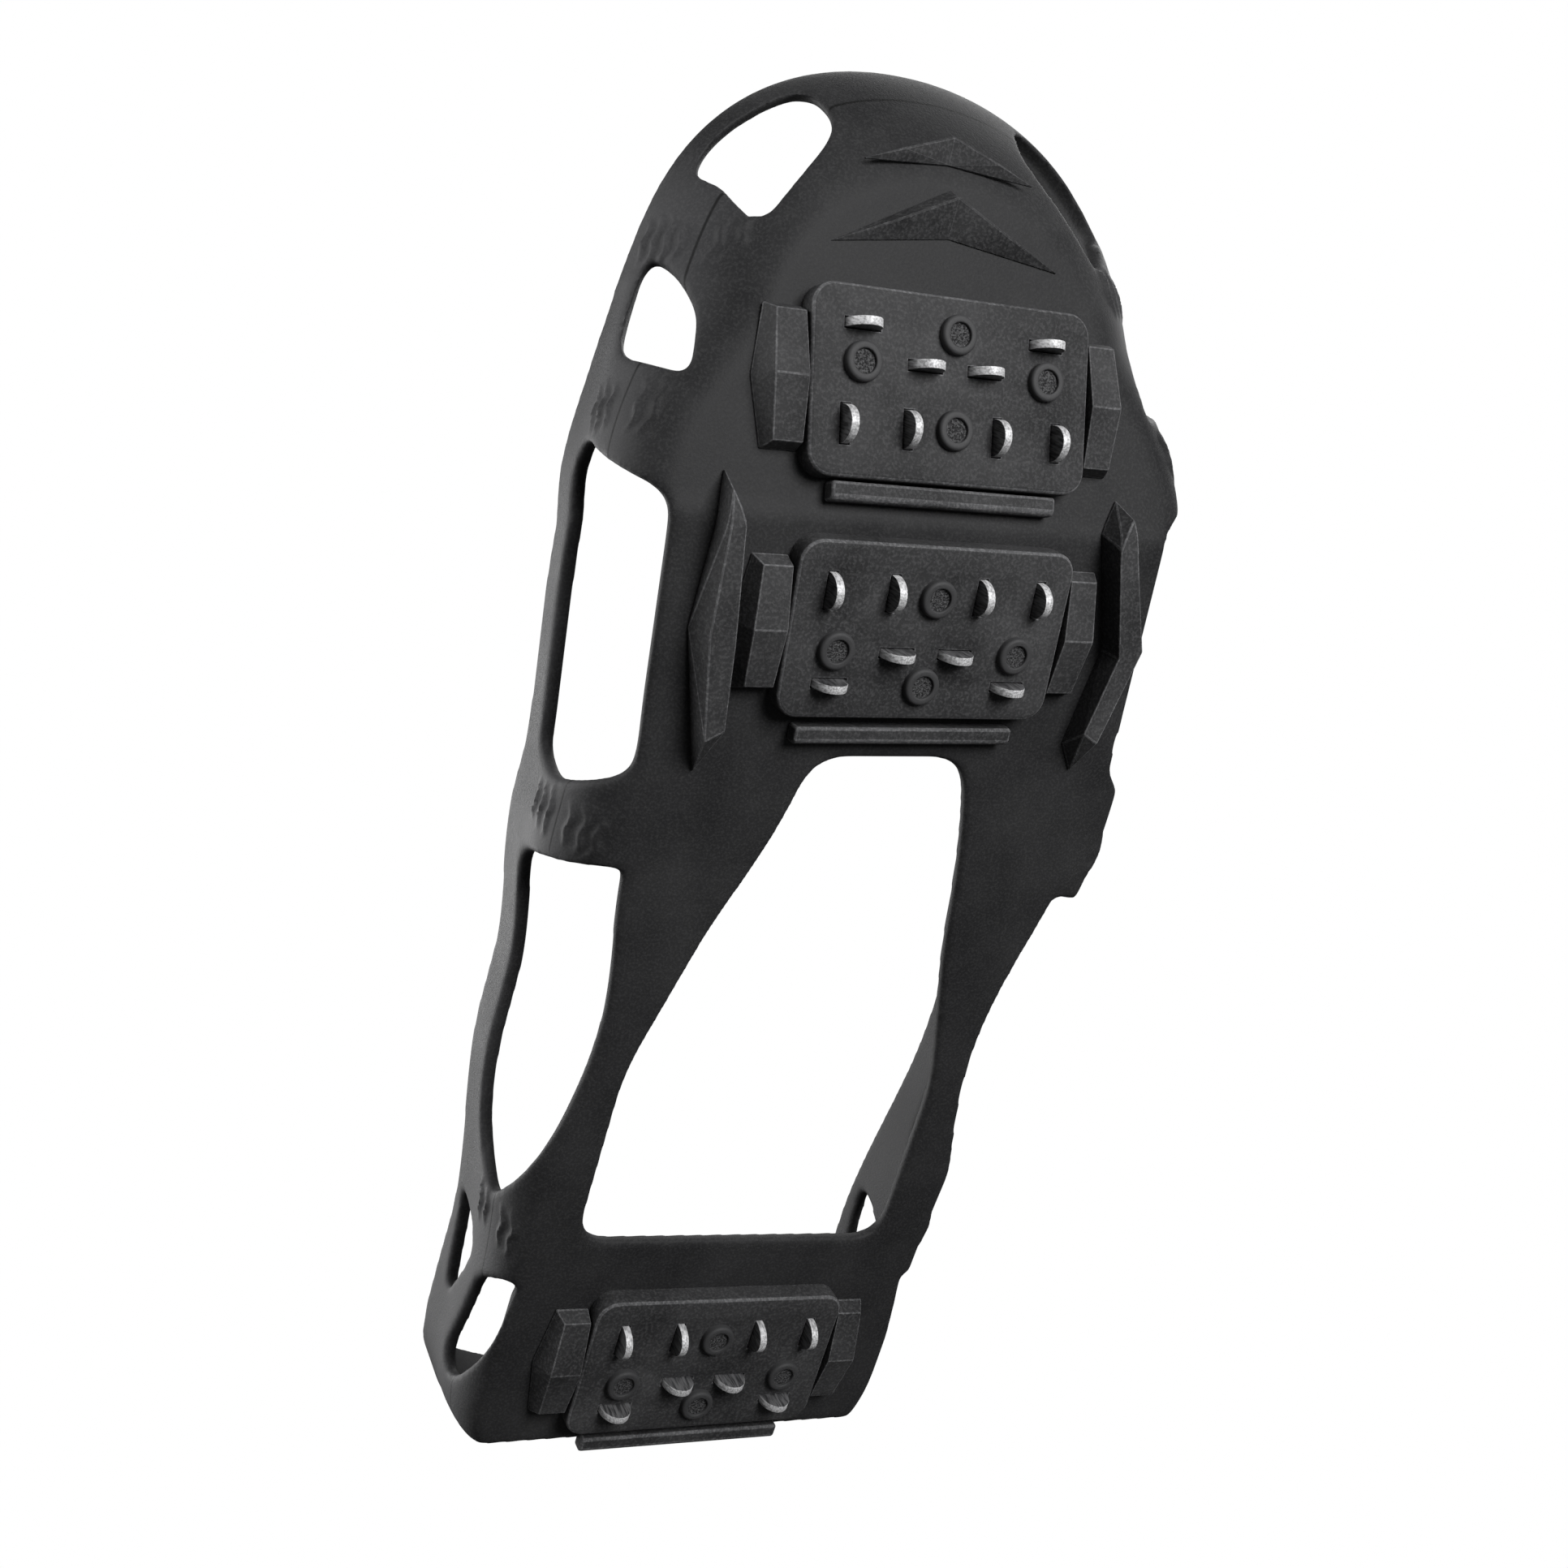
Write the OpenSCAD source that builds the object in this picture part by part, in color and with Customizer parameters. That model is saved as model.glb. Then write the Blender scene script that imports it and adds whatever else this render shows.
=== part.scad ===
// Over-shoe ice cleat: a stretchy rubber harness with three studded tread plates.
// Frame: +Y toward the toe, +Z up from the ground, the stud tips on Z = 0.
// Heights called rise are measured up from the underside of the web.
// The left half is X > 0. Forward distances are measured from the mid plate's centre.

/* [Harness] */
// Half width of the flat web where the toe starts to round off
toe_half = 37; // [36:0.5:40]
// Half width of the web at the ball of the foot
ball_half = 51; // [49:0.5:53]
// Half width of the web at the arch
arch_half = 45; // [43:0.5:48]
// Half width of the web at the heel
heel_half = 46.5; // [44:0.5:49]
// Toe end of the flat web, forward of the mid plate
toe_reach = 80; // [78:0.5:84]
// Heel end of the web's outline, behind the mid plate
heel_reach = 203; // [200:0.5:207]
// Length over which the toe rounds off
toe_round = 40; // [37:0.5:42]
// Length over which the heel rounds off
heel_round = 30; // [27:0.5:34]
// Thickness of the web and of the walls
web_t = 3; // [2:0.1:4]
// How far the side walls stand outside the web's edge
side_flare = 11.5; // [10:0.5:13]
// How far the forefoot walls stand outside the flat web
forefoot_flare = 20; // [18:0.5:22]
// How far the toe wall stands outside the flat web
toe_flare = 25; // [22:0.5:27]
// How far the heel wall stands outside the web's edge
heel_flare = 4.5; // [4:0.5:7]
// Height over which a side wall turns from the web to upright
turn_rise = 17; // [14:0.5:19]
// Height over which the toe wall turns from the web to upright
toe_turn_rise = 21; // [18:0.5:22]
// Top of the side rail above the web's underside
rail_rise = 33; // [31:0.5:36]
// Top of the toe cap above the web's underside
toe_rise = 24; // [23:0.5:28]
// Top of the heel strap above the web's underside
heel_rise = 46; // [43:0.5:52]
// Height of the heel strap across the back
heel_strap_w = 24; // [18:0.5:28]
// Half width of the toe cap between the two toe windows
toe_cap_half = 20.5; // [17:0.5:23]
// Height of the side rail beside the forefoot
rail_w = 9; // [7:0.5:11]
// Height of the side rail beside the arch
arch_rail_w = 11; // [9:0.5:12]

/* [Worn shape] */
// Toe spring: upward tilt of the forefoot
toe_spring = 17.9; // [8:0.1:22]
// Line where the forefoot bends, forward of the mid plate
toe_bend_y = 17.5; // [17.3:0.1:18.5]
// Turn of the heel half about the vertical
arch_bend = 7.5; // [0:0.1:10]
// Point where the heel half turns, behind the mid plate
arch_bend_y = 25; // [24:0.5:28]
// Front edge of the arch window, behind the mid plate
arch_window_front = 26.5; // [26:0.5:29]
// Rear edge of the arch window, behind the mid plate
arch_window_rear = 137; // [132:0.5:138]
// Half width of the arch window at its front edge
arch_window_front_half = 16.5; // [12:0.5:20]
// Half width of the arch window at its widest
arch_window_rear_half = 36; // [32:0.5:37]

/* [Tread plates] */
// Width of a tread pad
pad_w = 58; // [56:0.5:59]
// Length of a tread pad
pad_l = 33.5; // [32:0.5:34.5]
// Thickness of a tread pad
pad_t = 4.5; // [4:0.1:6]
// Corner radius of a tread pad
pad_r = 4.5; // [2:0.5:7]
// Centre of the front pad, forward of the bend line
front_pad_y = 25.1; // [25:0.1:27]
// Centre of the heel pad, forward of the web's heel end
heel_pad_back = 37.3; // [34:0.1:40]
// Width of the steel plate inside a pad
plate_w = 50; // [46:0.5:53]
// Length of the steel plate inside a pad
plate_l = 27; // [25:0.5:29]
// Thickness of the steel plate and of its teeth
plate_t = 1.6; // [1.2:0.1:2]
// Width of a tooth
tooth_w = 6.8; // [5:0.1:7.4]
// Height of a tooth below the pad
tooth_h = 4; // [3:0.1:6]
// Distance from the pad's middle to the outer lengthwise teeth
long_outer_x = 22; // [20:0.1:23]
// Distance from the pad's middle to the inner lengthwise teeth
long_inner_x = 9.3; // [8.5:0.1:11]
// Row of the lengthwise teeth, toward the plain edge of the pad
long_row_y = 7.5; // [6.5:0.1:9]
// Distance from the pad's middle to the outer crosswise teeth
cross_outer_x = 19.1; // [17:0.1:20]
// Row of the outer crosswise teeth
cross_outer_y = 9.9; // [9.5:0.1:11]
// Distance from the pad's middle to the inner crosswise teeth
cross_inner_x = 6.2; // [5.8:0.1:8]
// Row of the inner crosswise teeth
cross_inner_y = 3.8; // [3:0.1:4.2]
// Head diameter of a rivet
rivet_d = 7.2; // [6:0.1:7.6]
// Height of a rivet's head
rivet_h = 1.5; // [1:0.1:2]
// Shank diameter of a rivet
shank_d = 3; // [2.4:0.1:3.6]
// Diameter of the rough dish in a rivet's head
dish_d = 3.9; // [3:0.1:4.6]
// Clearance of the plate, teeth and rivets in the rubber
insert_gap = 0.15; // [0.1:0.05:0.3]

/* [Tread lugs] */
// Height of the side lugs above the web
lug_h = 5.5; // [4:0.1:7]
// Half length of a side lug
lug_half_l = 12.5; // [10:0.5:14]
// Width of a side lug at its ends
lug_w = 7; // [5:0.5:8]
// Extra width of a side lug at its middle
lug_point = 2; // [1:0.1:2.2]
// Gap between a pad and its side lugs
lug_gap = 0.5; // [0.3:0.1:1]
// Width of the bar beside a pad
bar_w = 47; // [40:0.5:50]
// Length of the bar beside a pad
bar_l = 3.6; // [3:0.1:4.4]
// Height of the bar beside a pad
bar_h = 3.4; // [2.5:0.1:4.4]
// Gap between the front pad and its bar
front_bar_gap = 0.5; // [0.3:0.1:0.6]
// Gap between the mid or heel pad and its bar
rear_bar_gap = 2.2; // [0.5:0.1:2.6]
// Height of the side blades
blade_h = 6; // [4:0.1:7]
// Width of a side blade
blade_w = 7.5; // [6:0.1:7.6]
// Distance from the middle to the left blade's outer corner
left_blade_x = 46.5; // [46.4:0.1:49]
// Distance from the middle to the right blade's outer corner
right_blade_x = 50; // [46.5:0.1:51]
// Distance from the middle to the left blade's front tip
left_blade_tip = 43; // [40:0.1:44]
// Distance from the middle to the right blade's front tip
right_blade_tip = 39.5; // [39:0.1:43]
// Length of a side blade
blade_l = 55; // [48:0.5:56]
// Half span of the large chevron
chevron_half = 23.6; // [18:0.2:26]
// Half span of the small chevron
chevron_small_half = 17.6; // [14:0.2:19]
// Height of the chevrons
chevron_h = 3.6; // [2:0.1:5]
// Small chevron's tips, forward of the front pad's centre
small_chevron_y = 39.4; // [39:0.2:42]

/* [Hidden] */

// Levels above the ground
pad_z = tooth_h;
web_z = tooth_h + pad_t;
web_top = web_z + web_t;
hinge_z = web_z + web_t / 2;

// Places along the sole
toe_start = toe_reach - toe_round;
heel_start = -heel_reach + heel_round;
ball_rear = -45;
ball_front = 22;
toe_front = 55;
arch_y = -88;
heel_pad_y = heel_reach - arch_bend_y - heel_pad_back;
rim_drop_y = 10;
heel_lift_y = 25 - heel_reach;
heel_narrow_front = -100;
heel_narrow_rear = -155;
// The heel bar stands out a little behind the rear edge of the web
bar_overhang = 0.8;
web_rear = arch_bend_y + heel_pad_y + pad_l / 2 + rear_bar_gap + bar_l - bar_overhang;

// Roundness of the toe and of the heel seen from above, 2 for an ellipse
toe_power = 2.1;
heel_power = 2.6;
// Roundness of the walls' turn: 2 for an ellipse, less where the toe rises like a wedge
side_turn_power = 2;
toe_turn_power = 1.4;

// Where the harness is parted for bending: the web and the rail on each side of a bend
toe_web_cut = toe_bend_y - 0.5;
toe_rail_cut = -14;
toe_front_cut = toe_bend_y + 4;
arch_web_cut = 64;
arch_rail_cut = 66;
heel_web_cut = 106;
heel_rail_cut = 122;
cut_gap = 0.2;
rail_cut_z = web_z + 16;

rubber = "#2b2c2e";
tread = "#35363a";
steel = "#b9bcc0";
blackened = "#1d1e20";

// Smooth step from 0 at a to 1 at b
function ramp(v, a, b) = let (t = min(1, max(0, (v - a) / (b - a)))) t * t * (3 - 2 * t);

// Half width of the web along the sole
function waist(y) = heel_half
    + (arch_half - heel_half) * ramp(y, heel_start, arch_y)
    + (ball_half - arch_half) * ramp(y, arch_y, ball_rear)
    + (toe_half - ball_half) * ramp(y, ball_front, toe_front);
function round_off(s, n) = pow(max(0, 1 - pow(max(0, s), n)), 1 / n);
function half_w(y) = waist(y)
    * round_off((y - toe_start) / toe_round, toe_power)
    * round_off((heel_start - y) / heel_round, heel_power);

// Top edge of the harness, and the flare of its walls
function rim(y) = rail_rise
    + (toe_rise - rail_rise) * ramp(y, rim_drop_y, toe_reach)
    + (heel_rise - rail_rise) * ramp(-y, -heel_lift_y, heel_reach);
function flare(y) = side_flare
    + (forefoot_flare - side_flare) * ramp(y, ball_front, toe_front)
    + (toe_flare - forefoot_flare) * ramp(y, toe_front, toe_reach)
    + (heel_flare - side_flare) * ramp(-y, -heel_narrow_front, -heel_narrow_rear);
function turn_h(y) = turn_rise + (toe_turn_rise - turn_rise) * ramp(y, ball_front, toe_front);
function turn_power(y) = side_turn_power
    + (toe_turn_power - side_turn_power) * ramp(y, ball_front, toe_front);

// The worn shape: the forefoot springs up, and the heel half turns at the arch
function spring_turn(p) = toe_spring * ramp(p.y,
    toe_web_cut + (toe_rail_cut - toe_web_cut) * ramp(p.z, web_top, web_z + rail_rise),
    toe_front_cut);
function tilt(p, a) = let (y = p.y - toe_bend_y, z = p.z - hinge_z, front = max(0, y))
    [p.x,
     toe_bend_y + y - front * (1 - cos(a)) - z * sin(a),
     hinge_z + front * sin(a) + z * cos(a)];
function swing(p, a) = let (y = p.y + arch_bend_y)
    [p.x * cos(a) - y * sin(a), p.x * sin(a) + y * cos(a) - arch_bend_y, p.z];
function arch_turn(p) = arch_bend * ramp(-p.y, arch_bend_y - 3, arch_bend_y + 45);
function worn(p) = swing(tilt(p, spring_turn(p)), arch_turn(p));

// Stations along the sole, close together at the rounded ends
end_steps = 11;
side_steps = 27;
stations = concat(
    [for (i = [0 : end_steps - 1]) heel_start - heel_round * sin(89 * (1 - i / end_steps))],
    [for (i = [0 : side_steps]) heel_start + (toe_start - heel_start) * i / side_steps],
    [for (i = [1 : end_steps]) toe_start + toe_round * sin(89 * i / end_steps)]);
count = len(stations);
ring = 2 * count;

// Plan outline of the web, up the left side and back down the right, with its outward normals
outline = concat(
    [for (i = [0 : count - 1]) [half_w(stations[i]), stations[i]]],
    [for (i = [count - 1 : -1 : 0]) [-half_w(stations[i]), stations[i]]]);
function outward(i) = let (t = outline[(i + 1) % ring] - outline[(i + ring - 1) % ring])
    [t.y, -t.x] / norm(t);

// Wall profile: a quarter turn from the web, then straight up to the rim.
// A step of the turn is [share of the flare, share of the turn's height]
turn_steps = 7;
function turn_step(k, n) = let (s = sin(90 * k / turn_steps)) [s, 1 - round_off(s, n)];
function profile(y, k) = let (t = turn_step(min(k, turn_steps), turn_power(y)))
    [flare(y) * t.x, k > turn_steps ? rim(y) : turn_h(y) * t.y];
little = 0.05;
function slope(y, k) = let (
        above = profile(y, min(k + little, turn_steps)),
        under = profile(y, max(min(k, turn_steps) - little, 0)),
        d = above - under)
    d / norm(d);
function wall_point(i, q) = let (p = outline[i], n = outward(i))
    [p.x + n.x * q.x, p.y + n.y * q.x, web_z + q.y];
function outer_point(i, k) = wall_point(i, profile(outline[i].y, k));
function inner_point(i, k) = let (y = outline[i].y, q = profile(y, k), t = k > 0 ? slope(y, k) : [1, 0])
    wall_point(i, k > turn_steps ? [q.x - web_t, q.y] : [q.x - web_t * t.y, q.y + web_t * t.x]);

// Middle of the harness's box, which becomes the origin
outside = [for (k = [0 : turn_steps + 1], i = [0 : ring - 1]) worn(outer_point(i, k))];
outside_x = [for (p = outside) p.x];
outside_y = [for (p = outside) p.y];
centre = [(max(outside_x) + min(outside_x)) / 2, (max(outside_y) + min(outside_y)) / 2, 0];

function two(a, b, c, d) = [[a, b, c], [a, c, d]];

// The whole harness before its windows are cut
module shell() {
    layers = turn_steps + 2;
    points = [
        for (k = [0 : layers - 1], i = [0 : ring - 1]) worn(outer_point(i, k)),
        for (k = [layers - 1 : -1 : 0], i = [0 : ring - 1]) worn(inner_point(i, k))
    ];
    top = (2 * layers - 1) * ring;
    faces = [
        for (k = [0 : 2 * layers - 2], i = [0 : ring - 1])
            let (j = (i + 1) % ring)
            each two(k * ring + i, (k + 1) * ring + i, (k + 1) * ring + j, k * ring + j),
        for (i = [0 : count - 2]) each two(i, i + 1, ring - 2 - i, ring - 1 - i),
        for (i = [0 : count - 2]) each two(top + ring - 1 - i, top + ring - 2 - i, top + i + 1, top + i)
    ];
    polyhedron(points, faces);
}

// A window through one wall. Each section is [y, inner x, lowest rise, highest rise]
module window(sections, side) {
    far = 90;
    last = len(sections) - 1;
    points = [for (s = sections, q = [[s[1], s[2]], [s[1], s[3]], [far, s[3]], [far, s[2]]])
        worn([side * q[0], s[0], web_z + q[1]])];
    walls = [
        for (i = [0 : last - 1], c = [0 : 3])
            let (d = (c + 1) % 4, a = 4 * i, b = 4 * (i + 1))
            each two(a + c, b + c, b + d, a + d),
        [0, 1, 2], [0, 2, 3],
        [4 * last, 4 * last + 2, 4 * last + 1], [4 * last, 4 * last + 3, 4 * last + 2]
    ];
    forward = sections[last][0] > sections[0][0];
    flip = (side > 0) == forward;
    polyhedron(points, flip ? walls : [for (f = walls) [f[2], f[1], f[0]]]);
}

// Windows of one side. Below the web they run clear through it
below = -8;
function rail_foot(y) = rim(y) - rail_w - (arch_rail_w - rail_w) * ramp(-y, 40, 70);
toe_cap_y = toe_reach + 10;
toe_cap_spread = 0.9;
function toe_cap_edge(y) = toe_cap_half + toe_cap_spread * max(0, toe_cap_y - y);
// Windows of the toe lie from the web's toe end: d forward of it, with a lowest and a highest rise
function toe_cut(d, high) = [toe_reach + d, toe_cap_edge(toe_reach + d), below, high];
function toe_foot(d) = rail_foot(toe_reach + d);
toe_window = [
    toe_cut(-9, 1), toe_cut(-5, 8), toe_cut(0, toe_foot(0)), toe_cut(6, toe_foot(6)),
    toe_cut(12, toe_foot(12)), toe_cut(17, toe_foot(17) - 0.5),
    toe_cut(21, toe_foot(21) - 3), toe_cut(26, toe_foot(26) - 5)];
tip_edge = toe_half + 9;
function tip_cut(d, low, high) = [toe_reach + d, tip_edge, low, high];
tip_window = [
    tip_cut(-38, below, 2), tip_cut(-34.5, below, 12), tip_cut(-31.5, below, toe_foot(-31.5) - 2),
    tip_cut(-28, below, toe_foot(-28)), tip_cut(-24, below, toe_foot(-24)),
    tip_cut(-21.5, 5, toe_foot(-21.5)), tip_cut(-19, 9, toe_foot(-19) - 0.5),
    tip_cut(-17, 12, toe_foot(-17) - 2)];
ball_edge = ball_half + 1.5;
ball_window = [
    [-38, ball_edge - 1, 14, 17], [-36, ball_edge - 1, 9, rail_foot(-36) - 2],
    [-33, ball_edge - 0.5, 4, rail_foot(-33)], [-28.5, ball_edge - 0.5, below, rail_foot(-28.5)],
    for (y = [-24 : 8 : 16]) [y, ball_edge, below, rail_foot(y)],
    [20, ball_edge, below, rail_foot(20)], [23, ball_edge, 3, rail_foot(23)],
    [26, ball_edge, 8, rail_foot(26)], [29, ball_edge, 14, rail_foot(29) - 1],
    [31, ball_edge, 18, rail_foot(31) - 2]];
// The arch and heel windows' lower edges lie a little inside the web's own edge
edge_in = 1.3;
function arch_edge(y) = half_w(y) - edge_in;
arch_window = [
    [-129.5, arch_edge(-129.5), 10, 14], [-128, arch_edge(-128), 7, 18],
    [-124, arch_edge(-124), 4, rail_foot(-124) - 1], [-118, arch_edge(-118), 1.5, rail_foot(-118)],
    [-113, arch_edge(-113), -0.6, rail_foot(-113)], [-109, arch_edge(-109), below, rail_foot(-109)],
    for (y = [-101 : 8 : -69]) [y, arch_edge(y), below, rail_foot(y)],
    [-61, arch_edge(-61), below, rail_foot(-61) - 1], [-58, arch_edge(-58), below, 13],
    [-56, arch_edge(-56), below, 7], [-53.6, arch_edge(-53.6), below, 1]];
// Windows of the heel lie from the web's heel end: d forward of it
slot_edge = heel_half - 12;
function slot_cut(d, low, high) = [d - heel_reach, slot_edge, low, high];
rear_slot = [
    slot_cut(38, 23, 24.5), slot_cut(40, 22, 25.5), slot_cut(45, 19.5, 26.5),
    slot_cut(50, 17.5, 27.5), slot_cut(54, 17.5, 28), slot_cut(57, 20.5, 28.5),
    slot_cut(59, 26, 28.5)];
heel_shift = 0.4;
function heel_cut(d, in, low, high) =
    [d - heel_shift - heel_reach, arch_edge(d - heel_reach) - in, low, high];
heel_window = [
    heel_cut(25, 1.6, 12, 14), heel_cut(27, 1.5, 9, 16), heel_cut(30.7, 0.8, 6, 16),
    heel_cut(35, 0, 3.4, 14.5), heel_cut(40, -0.2, 0.5, 13), heel_cut(45, -0.3, -1, 12),
    heel_cut(50, -0.2, below, 11), heel_cut(53, -0.1, below, 7), heel_cut(56, 0, below, 2)];
side_windows = [toe_window, tip_window, ball_window, arch_window, rear_slot, heel_window];

// Half width of the open arch between the two arch straps, y behind the mid plate
arch_corner = 9;
arch_front_corner = 5;
arch_widest_y = 98;
function arch_spread(y) = let (t = (y - arch_window_front) / (arch_widest_y - arch_window_front))
    arch_window_front_half + (arch_window_rear_half - arch_window_front_half) * min(1, max(0, t));
function arch_open(y) = arch_spread(y)
    - arch_corner * (1 - round_off((y - arch_window_rear + arch_corner) / arch_corner, 2))
    - arch_front_corner
        * (1 - round_off((arch_window_front + arch_front_corner - y) / arch_front_corner, 2));
module arch_opening() {
    first = arch_window_front + arch_front_corner;
    last = arch_window_rear - arch_corner;
    ys = concat([for (a = [88, 60, 40, 20]) first - arch_front_corner * sin(a)],
        [for (i = [0 : 14]) first + (last - first) * i / 14],
        [for (a = [20 : 20 : 80]) last + arch_corner * sin(a)]);
    left = [for (y = ys) worn([arch_open(y) + 0.1, -y, 0])];
    right = [for (i = [len(ys) - 1 : -1 : 0]) worn([-arch_open(ys[i]) - 0.1, -ys[i], 0])];
    translate([0, 0, web_z - 5])
        linear_extrude(web_t + 10)
            polygon([for (p = concat(left, right)) [p.x, p.y]]);
}

// The open back under the heel strap
module heel_opening() {
    at_heel_half()
        translate([-heel_half * 2, -heel_reach - 40, web_z - 5])
            cube([heel_half * 4, heel_reach + 40 - web_rear, heel_rise - heel_strap_w + 5]);
}

module harness() {
    difference() {
        shell();
        for (w = side_windows, side = [-1, 1]) window(w, side);
        arch_opening();
        heel_opening();
    }
}

// The forefoot's and the heel half's own frames
module at_forefoot() {
    translate([0, toe_bend_y, hinge_z])
        rotate([toe_spring, 0, 0])
            translate([0, -toe_bend_y, -hinge_z])
                children();
}
module at_heel_half() {
    translate([0, -arch_bend_y, 0])
        rotate([0, 0, arch_bend])
            translate([0, arch_bend_y, 0])
                children();
}

// Everything ahead of y, and everything behind y, between two levels
big = 400;
module ahead(y, low, high) {
    translate([-big / 2, y, low])
        cube([big, big, high - low]);
}
module behind(y, low, high) {
    translate([-big / 2, y - big, low])
        cube([big, big, high - low]);
}
module toe_zone(gap) {
    at_forefoot()
        ahead(toe_front_cut - gap, -big, big);
}
module before_toe_bend(gap) {
    ahead(toe_web_cut - gap, -big, rail_cut_z);
    ahead(toe_rail_cut - gap, rail_cut_z, big);
}
module heel_zone(gap) {
    at_heel_half() {
        behind(gap - heel_web_cut, -big, rail_cut_z);
        behind(gap - heel_rail_cut, rail_cut_z, big);
    }
}
module after_arch_bend(gap) {
    at_heel_half() {
        behind(gap - arch_web_cut, -big, rail_cut_z);
        behind(gap - arch_rail_cut, rail_cut_z, big);
    }
}

module sling_toe() {
    color(rubber)
        translate(-centre)
            intersection() {
                harness();
                toe_zone(0);
            }
}
module sling_mid() {
    color(rubber)
        translate(-centre)
            difference() {
                harness();
                before_toe_bend(0);
                after_arch_bend(0);
            }
}
module sling_heel() {
    color(rubber)
        translate(-centre)
            intersection() {
                harness();
                heel_zone(0);
            }
}
module forefoot_flex_links() {
    color(rubber)
        translate(-centre)
            difference() {
                intersection() {
                    harness();
                    before_toe_bend(-cut_gap);
                }
                toe_zone(cut_gap);
            }
}
module arch_flex_links() {
    color(rubber)
        translate(-centre)
            difference() {
                intersection() {
                    harness();
                    after_arch_bend(-cut_gap);
                }
                heel_zone(cut_gap);
            }
}

// Places of the three tread plates. The front one is turned end for end
module at_front_pad() {
    translate(-centre)
        at_forefoot()
            translate([0, toe_bend_y + front_pad_y, 0])
                children();
}
module at_mid_pad() {
    translate(-centre)
        children();
}
module at_heel_pad() {
    translate(-centre)
        at_heel_half()
            translate([0, -arch_bend_y - heel_pad_y, 0])
                children();
}
module turned() {
    rotate([0, 0, 180])
        children();
}

// Places of the teeth, as [x, y, turn], and of the rivets on a plate
teeth = [for (side = [-1, 1]) each [
    [side * long_outer_x, long_row_y, 90],
    [side * long_inner_x, long_row_y, 90],
    [side * cross_outer_x, -cross_outer_y, 0],
    [side * cross_inner_x, -cross_inner_y, 0]]];
rivets = [
    [0, long_row_y - 0.5],
    [-cross_outer_x, -cross_inner_y + 0.4],
    [cross_outer_x, -cross_inner_y + 0.4],
    [0, -cross_outer_y]];
plate_z = web_z - plate_t;

module rounded_plate(w, l, r) {
    square([w - 2 * r, l], center = true);
    square([w, l - 2 * r], center = true);
    for (x = [-1, 1], y = [-1, 1])
        translate([x * (w / 2 - r), y * (l / 2 - r)])
            circle(r, $fn = 48);
}

// A rubber pad with a pocket for the plate, slots for its teeth and holes for its rivets
module pad() {
    color(tread)
        difference() {
            translate([0, 0, pad_z])
                linear_extrude(pad_t)
                    rounded_plate(pad_w, pad_l, pad_r);
            translate([0, 0, plate_z - insert_gap])
                linear_extrude(plate_t + 1)
                    rounded_plate(plate_w + 2 * insert_gap, plate_l + 2 * insert_gap, pad_r / 2);
            for (t = teeth)
                translate([t[0], t[1], pad_z - 1])
                    rotate(t[2])
                        linear_extrude(pad_t)
                            square([tooth_w + 2 * insert_gap, plate_t + 2 * insert_gap], center = true);
            for (r = rivets)
                translate([r[0], r[1], pad_z - 1])
                    cylinder(h = pad_t + 2, d = shank_d + 2 * insert_gap, $fn = 48);
        }
}

// A tooth is a stamped tab bent square to its plate, with a rounded end cut flat at the tip
module tooth() {
    tip = tooth_w / 2 + 0.25;
    rotate([90, 0, 0])
        translate([0, 0, -plate_t / 2])
            linear_extrude(plate_t)
                intersection() {
                    union() {
                        translate([0, tip - 0.4])
                            circle(tip, $fn = 64);
                        translate([-tooth_w / 2, tip - 0.4])
                            square([tooth_w, plate_z - tip + 0.4]);
                    }
                    translate([-tooth_w / 2, 0])
                        square([tooth_w, plate_z]);
                }
}
module cleat_plate() {
    color(steel) {
        difference() {
            translate([0, 0, plate_z])
                linear_extrude(plate_t)
                    rounded_plate(plate_w, plate_l, pad_r / 2);
            for (r = rivets)
                translate([r[0], r[1], plate_z - 1])
                    cylinder(h = plate_t + 2, d = shank_d + 2 * insert_gap, $fn = 48);
        }
        for (t = teeth)
            translate([t[0], t[1], 0])
                rotate(t[2])
                    tooth();
    }
}

// Button rivets with a dished, rough head
module rivet_set() {
    dish = rivet_h / 2;
    color(blackened)
        for (r = rivets)
            translate([r[0], r[1], pad_z - rivet_h])
                difference() {
                    union() {
                        cylinder(h = rivet_h, d = rivet_d, $fn = 64);
                        cylinder(h = rivet_h + pad_t - insert_gap, d = shank_d, $fn = 48);
                    }
                    translate([0, 0, -1])
                        cylinder(h = 1 + dish, d = dish_d, $fn = 48);
                }
}

// Faceted lugs on both sides of a pad, with a crease across the middle
module side_lugs() {
    near = pad_w / 2 + lug_gap;
    base = 0.4;
    slope = 1.2;
    color(tread)
        for (side = [-1, 1])
            hull() {
                translate([0, 0, web_z - base])
                    linear_extrude(base)
                        polygon([for (p = [[0, -lug_half_l], [lug_w, -lug_half_l], [lug_w + lug_point, 0],
                            [lug_w, lug_half_l], [0, lug_half_l]]) [side * (near + p.x), p.y]]);
                translate([0, 0, web_z - lug_h + 0.7])
                    linear_extrude(base)
                        polygon([for (p = [[0, slope - lug_half_l], [lug_w - slope, slope - lug_half_l],
                            [lug_w - slope, lug_half_l - slope], [0, lug_half_l - slope]])
                            [side * (near + p.x), p.y]]);
                translate([0, 0, web_z - lug_h])
                    linear_extrude(base)
                        polygon([for (p = [[0, -0.4], [lug_w + lug_point - 2 * slope, -0.4],
                            [lug_w + lug_point - 2 * slope, 0.4], [0, 0.4]]) [side * (near + p.x), p.y]]);
            }
}

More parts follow.
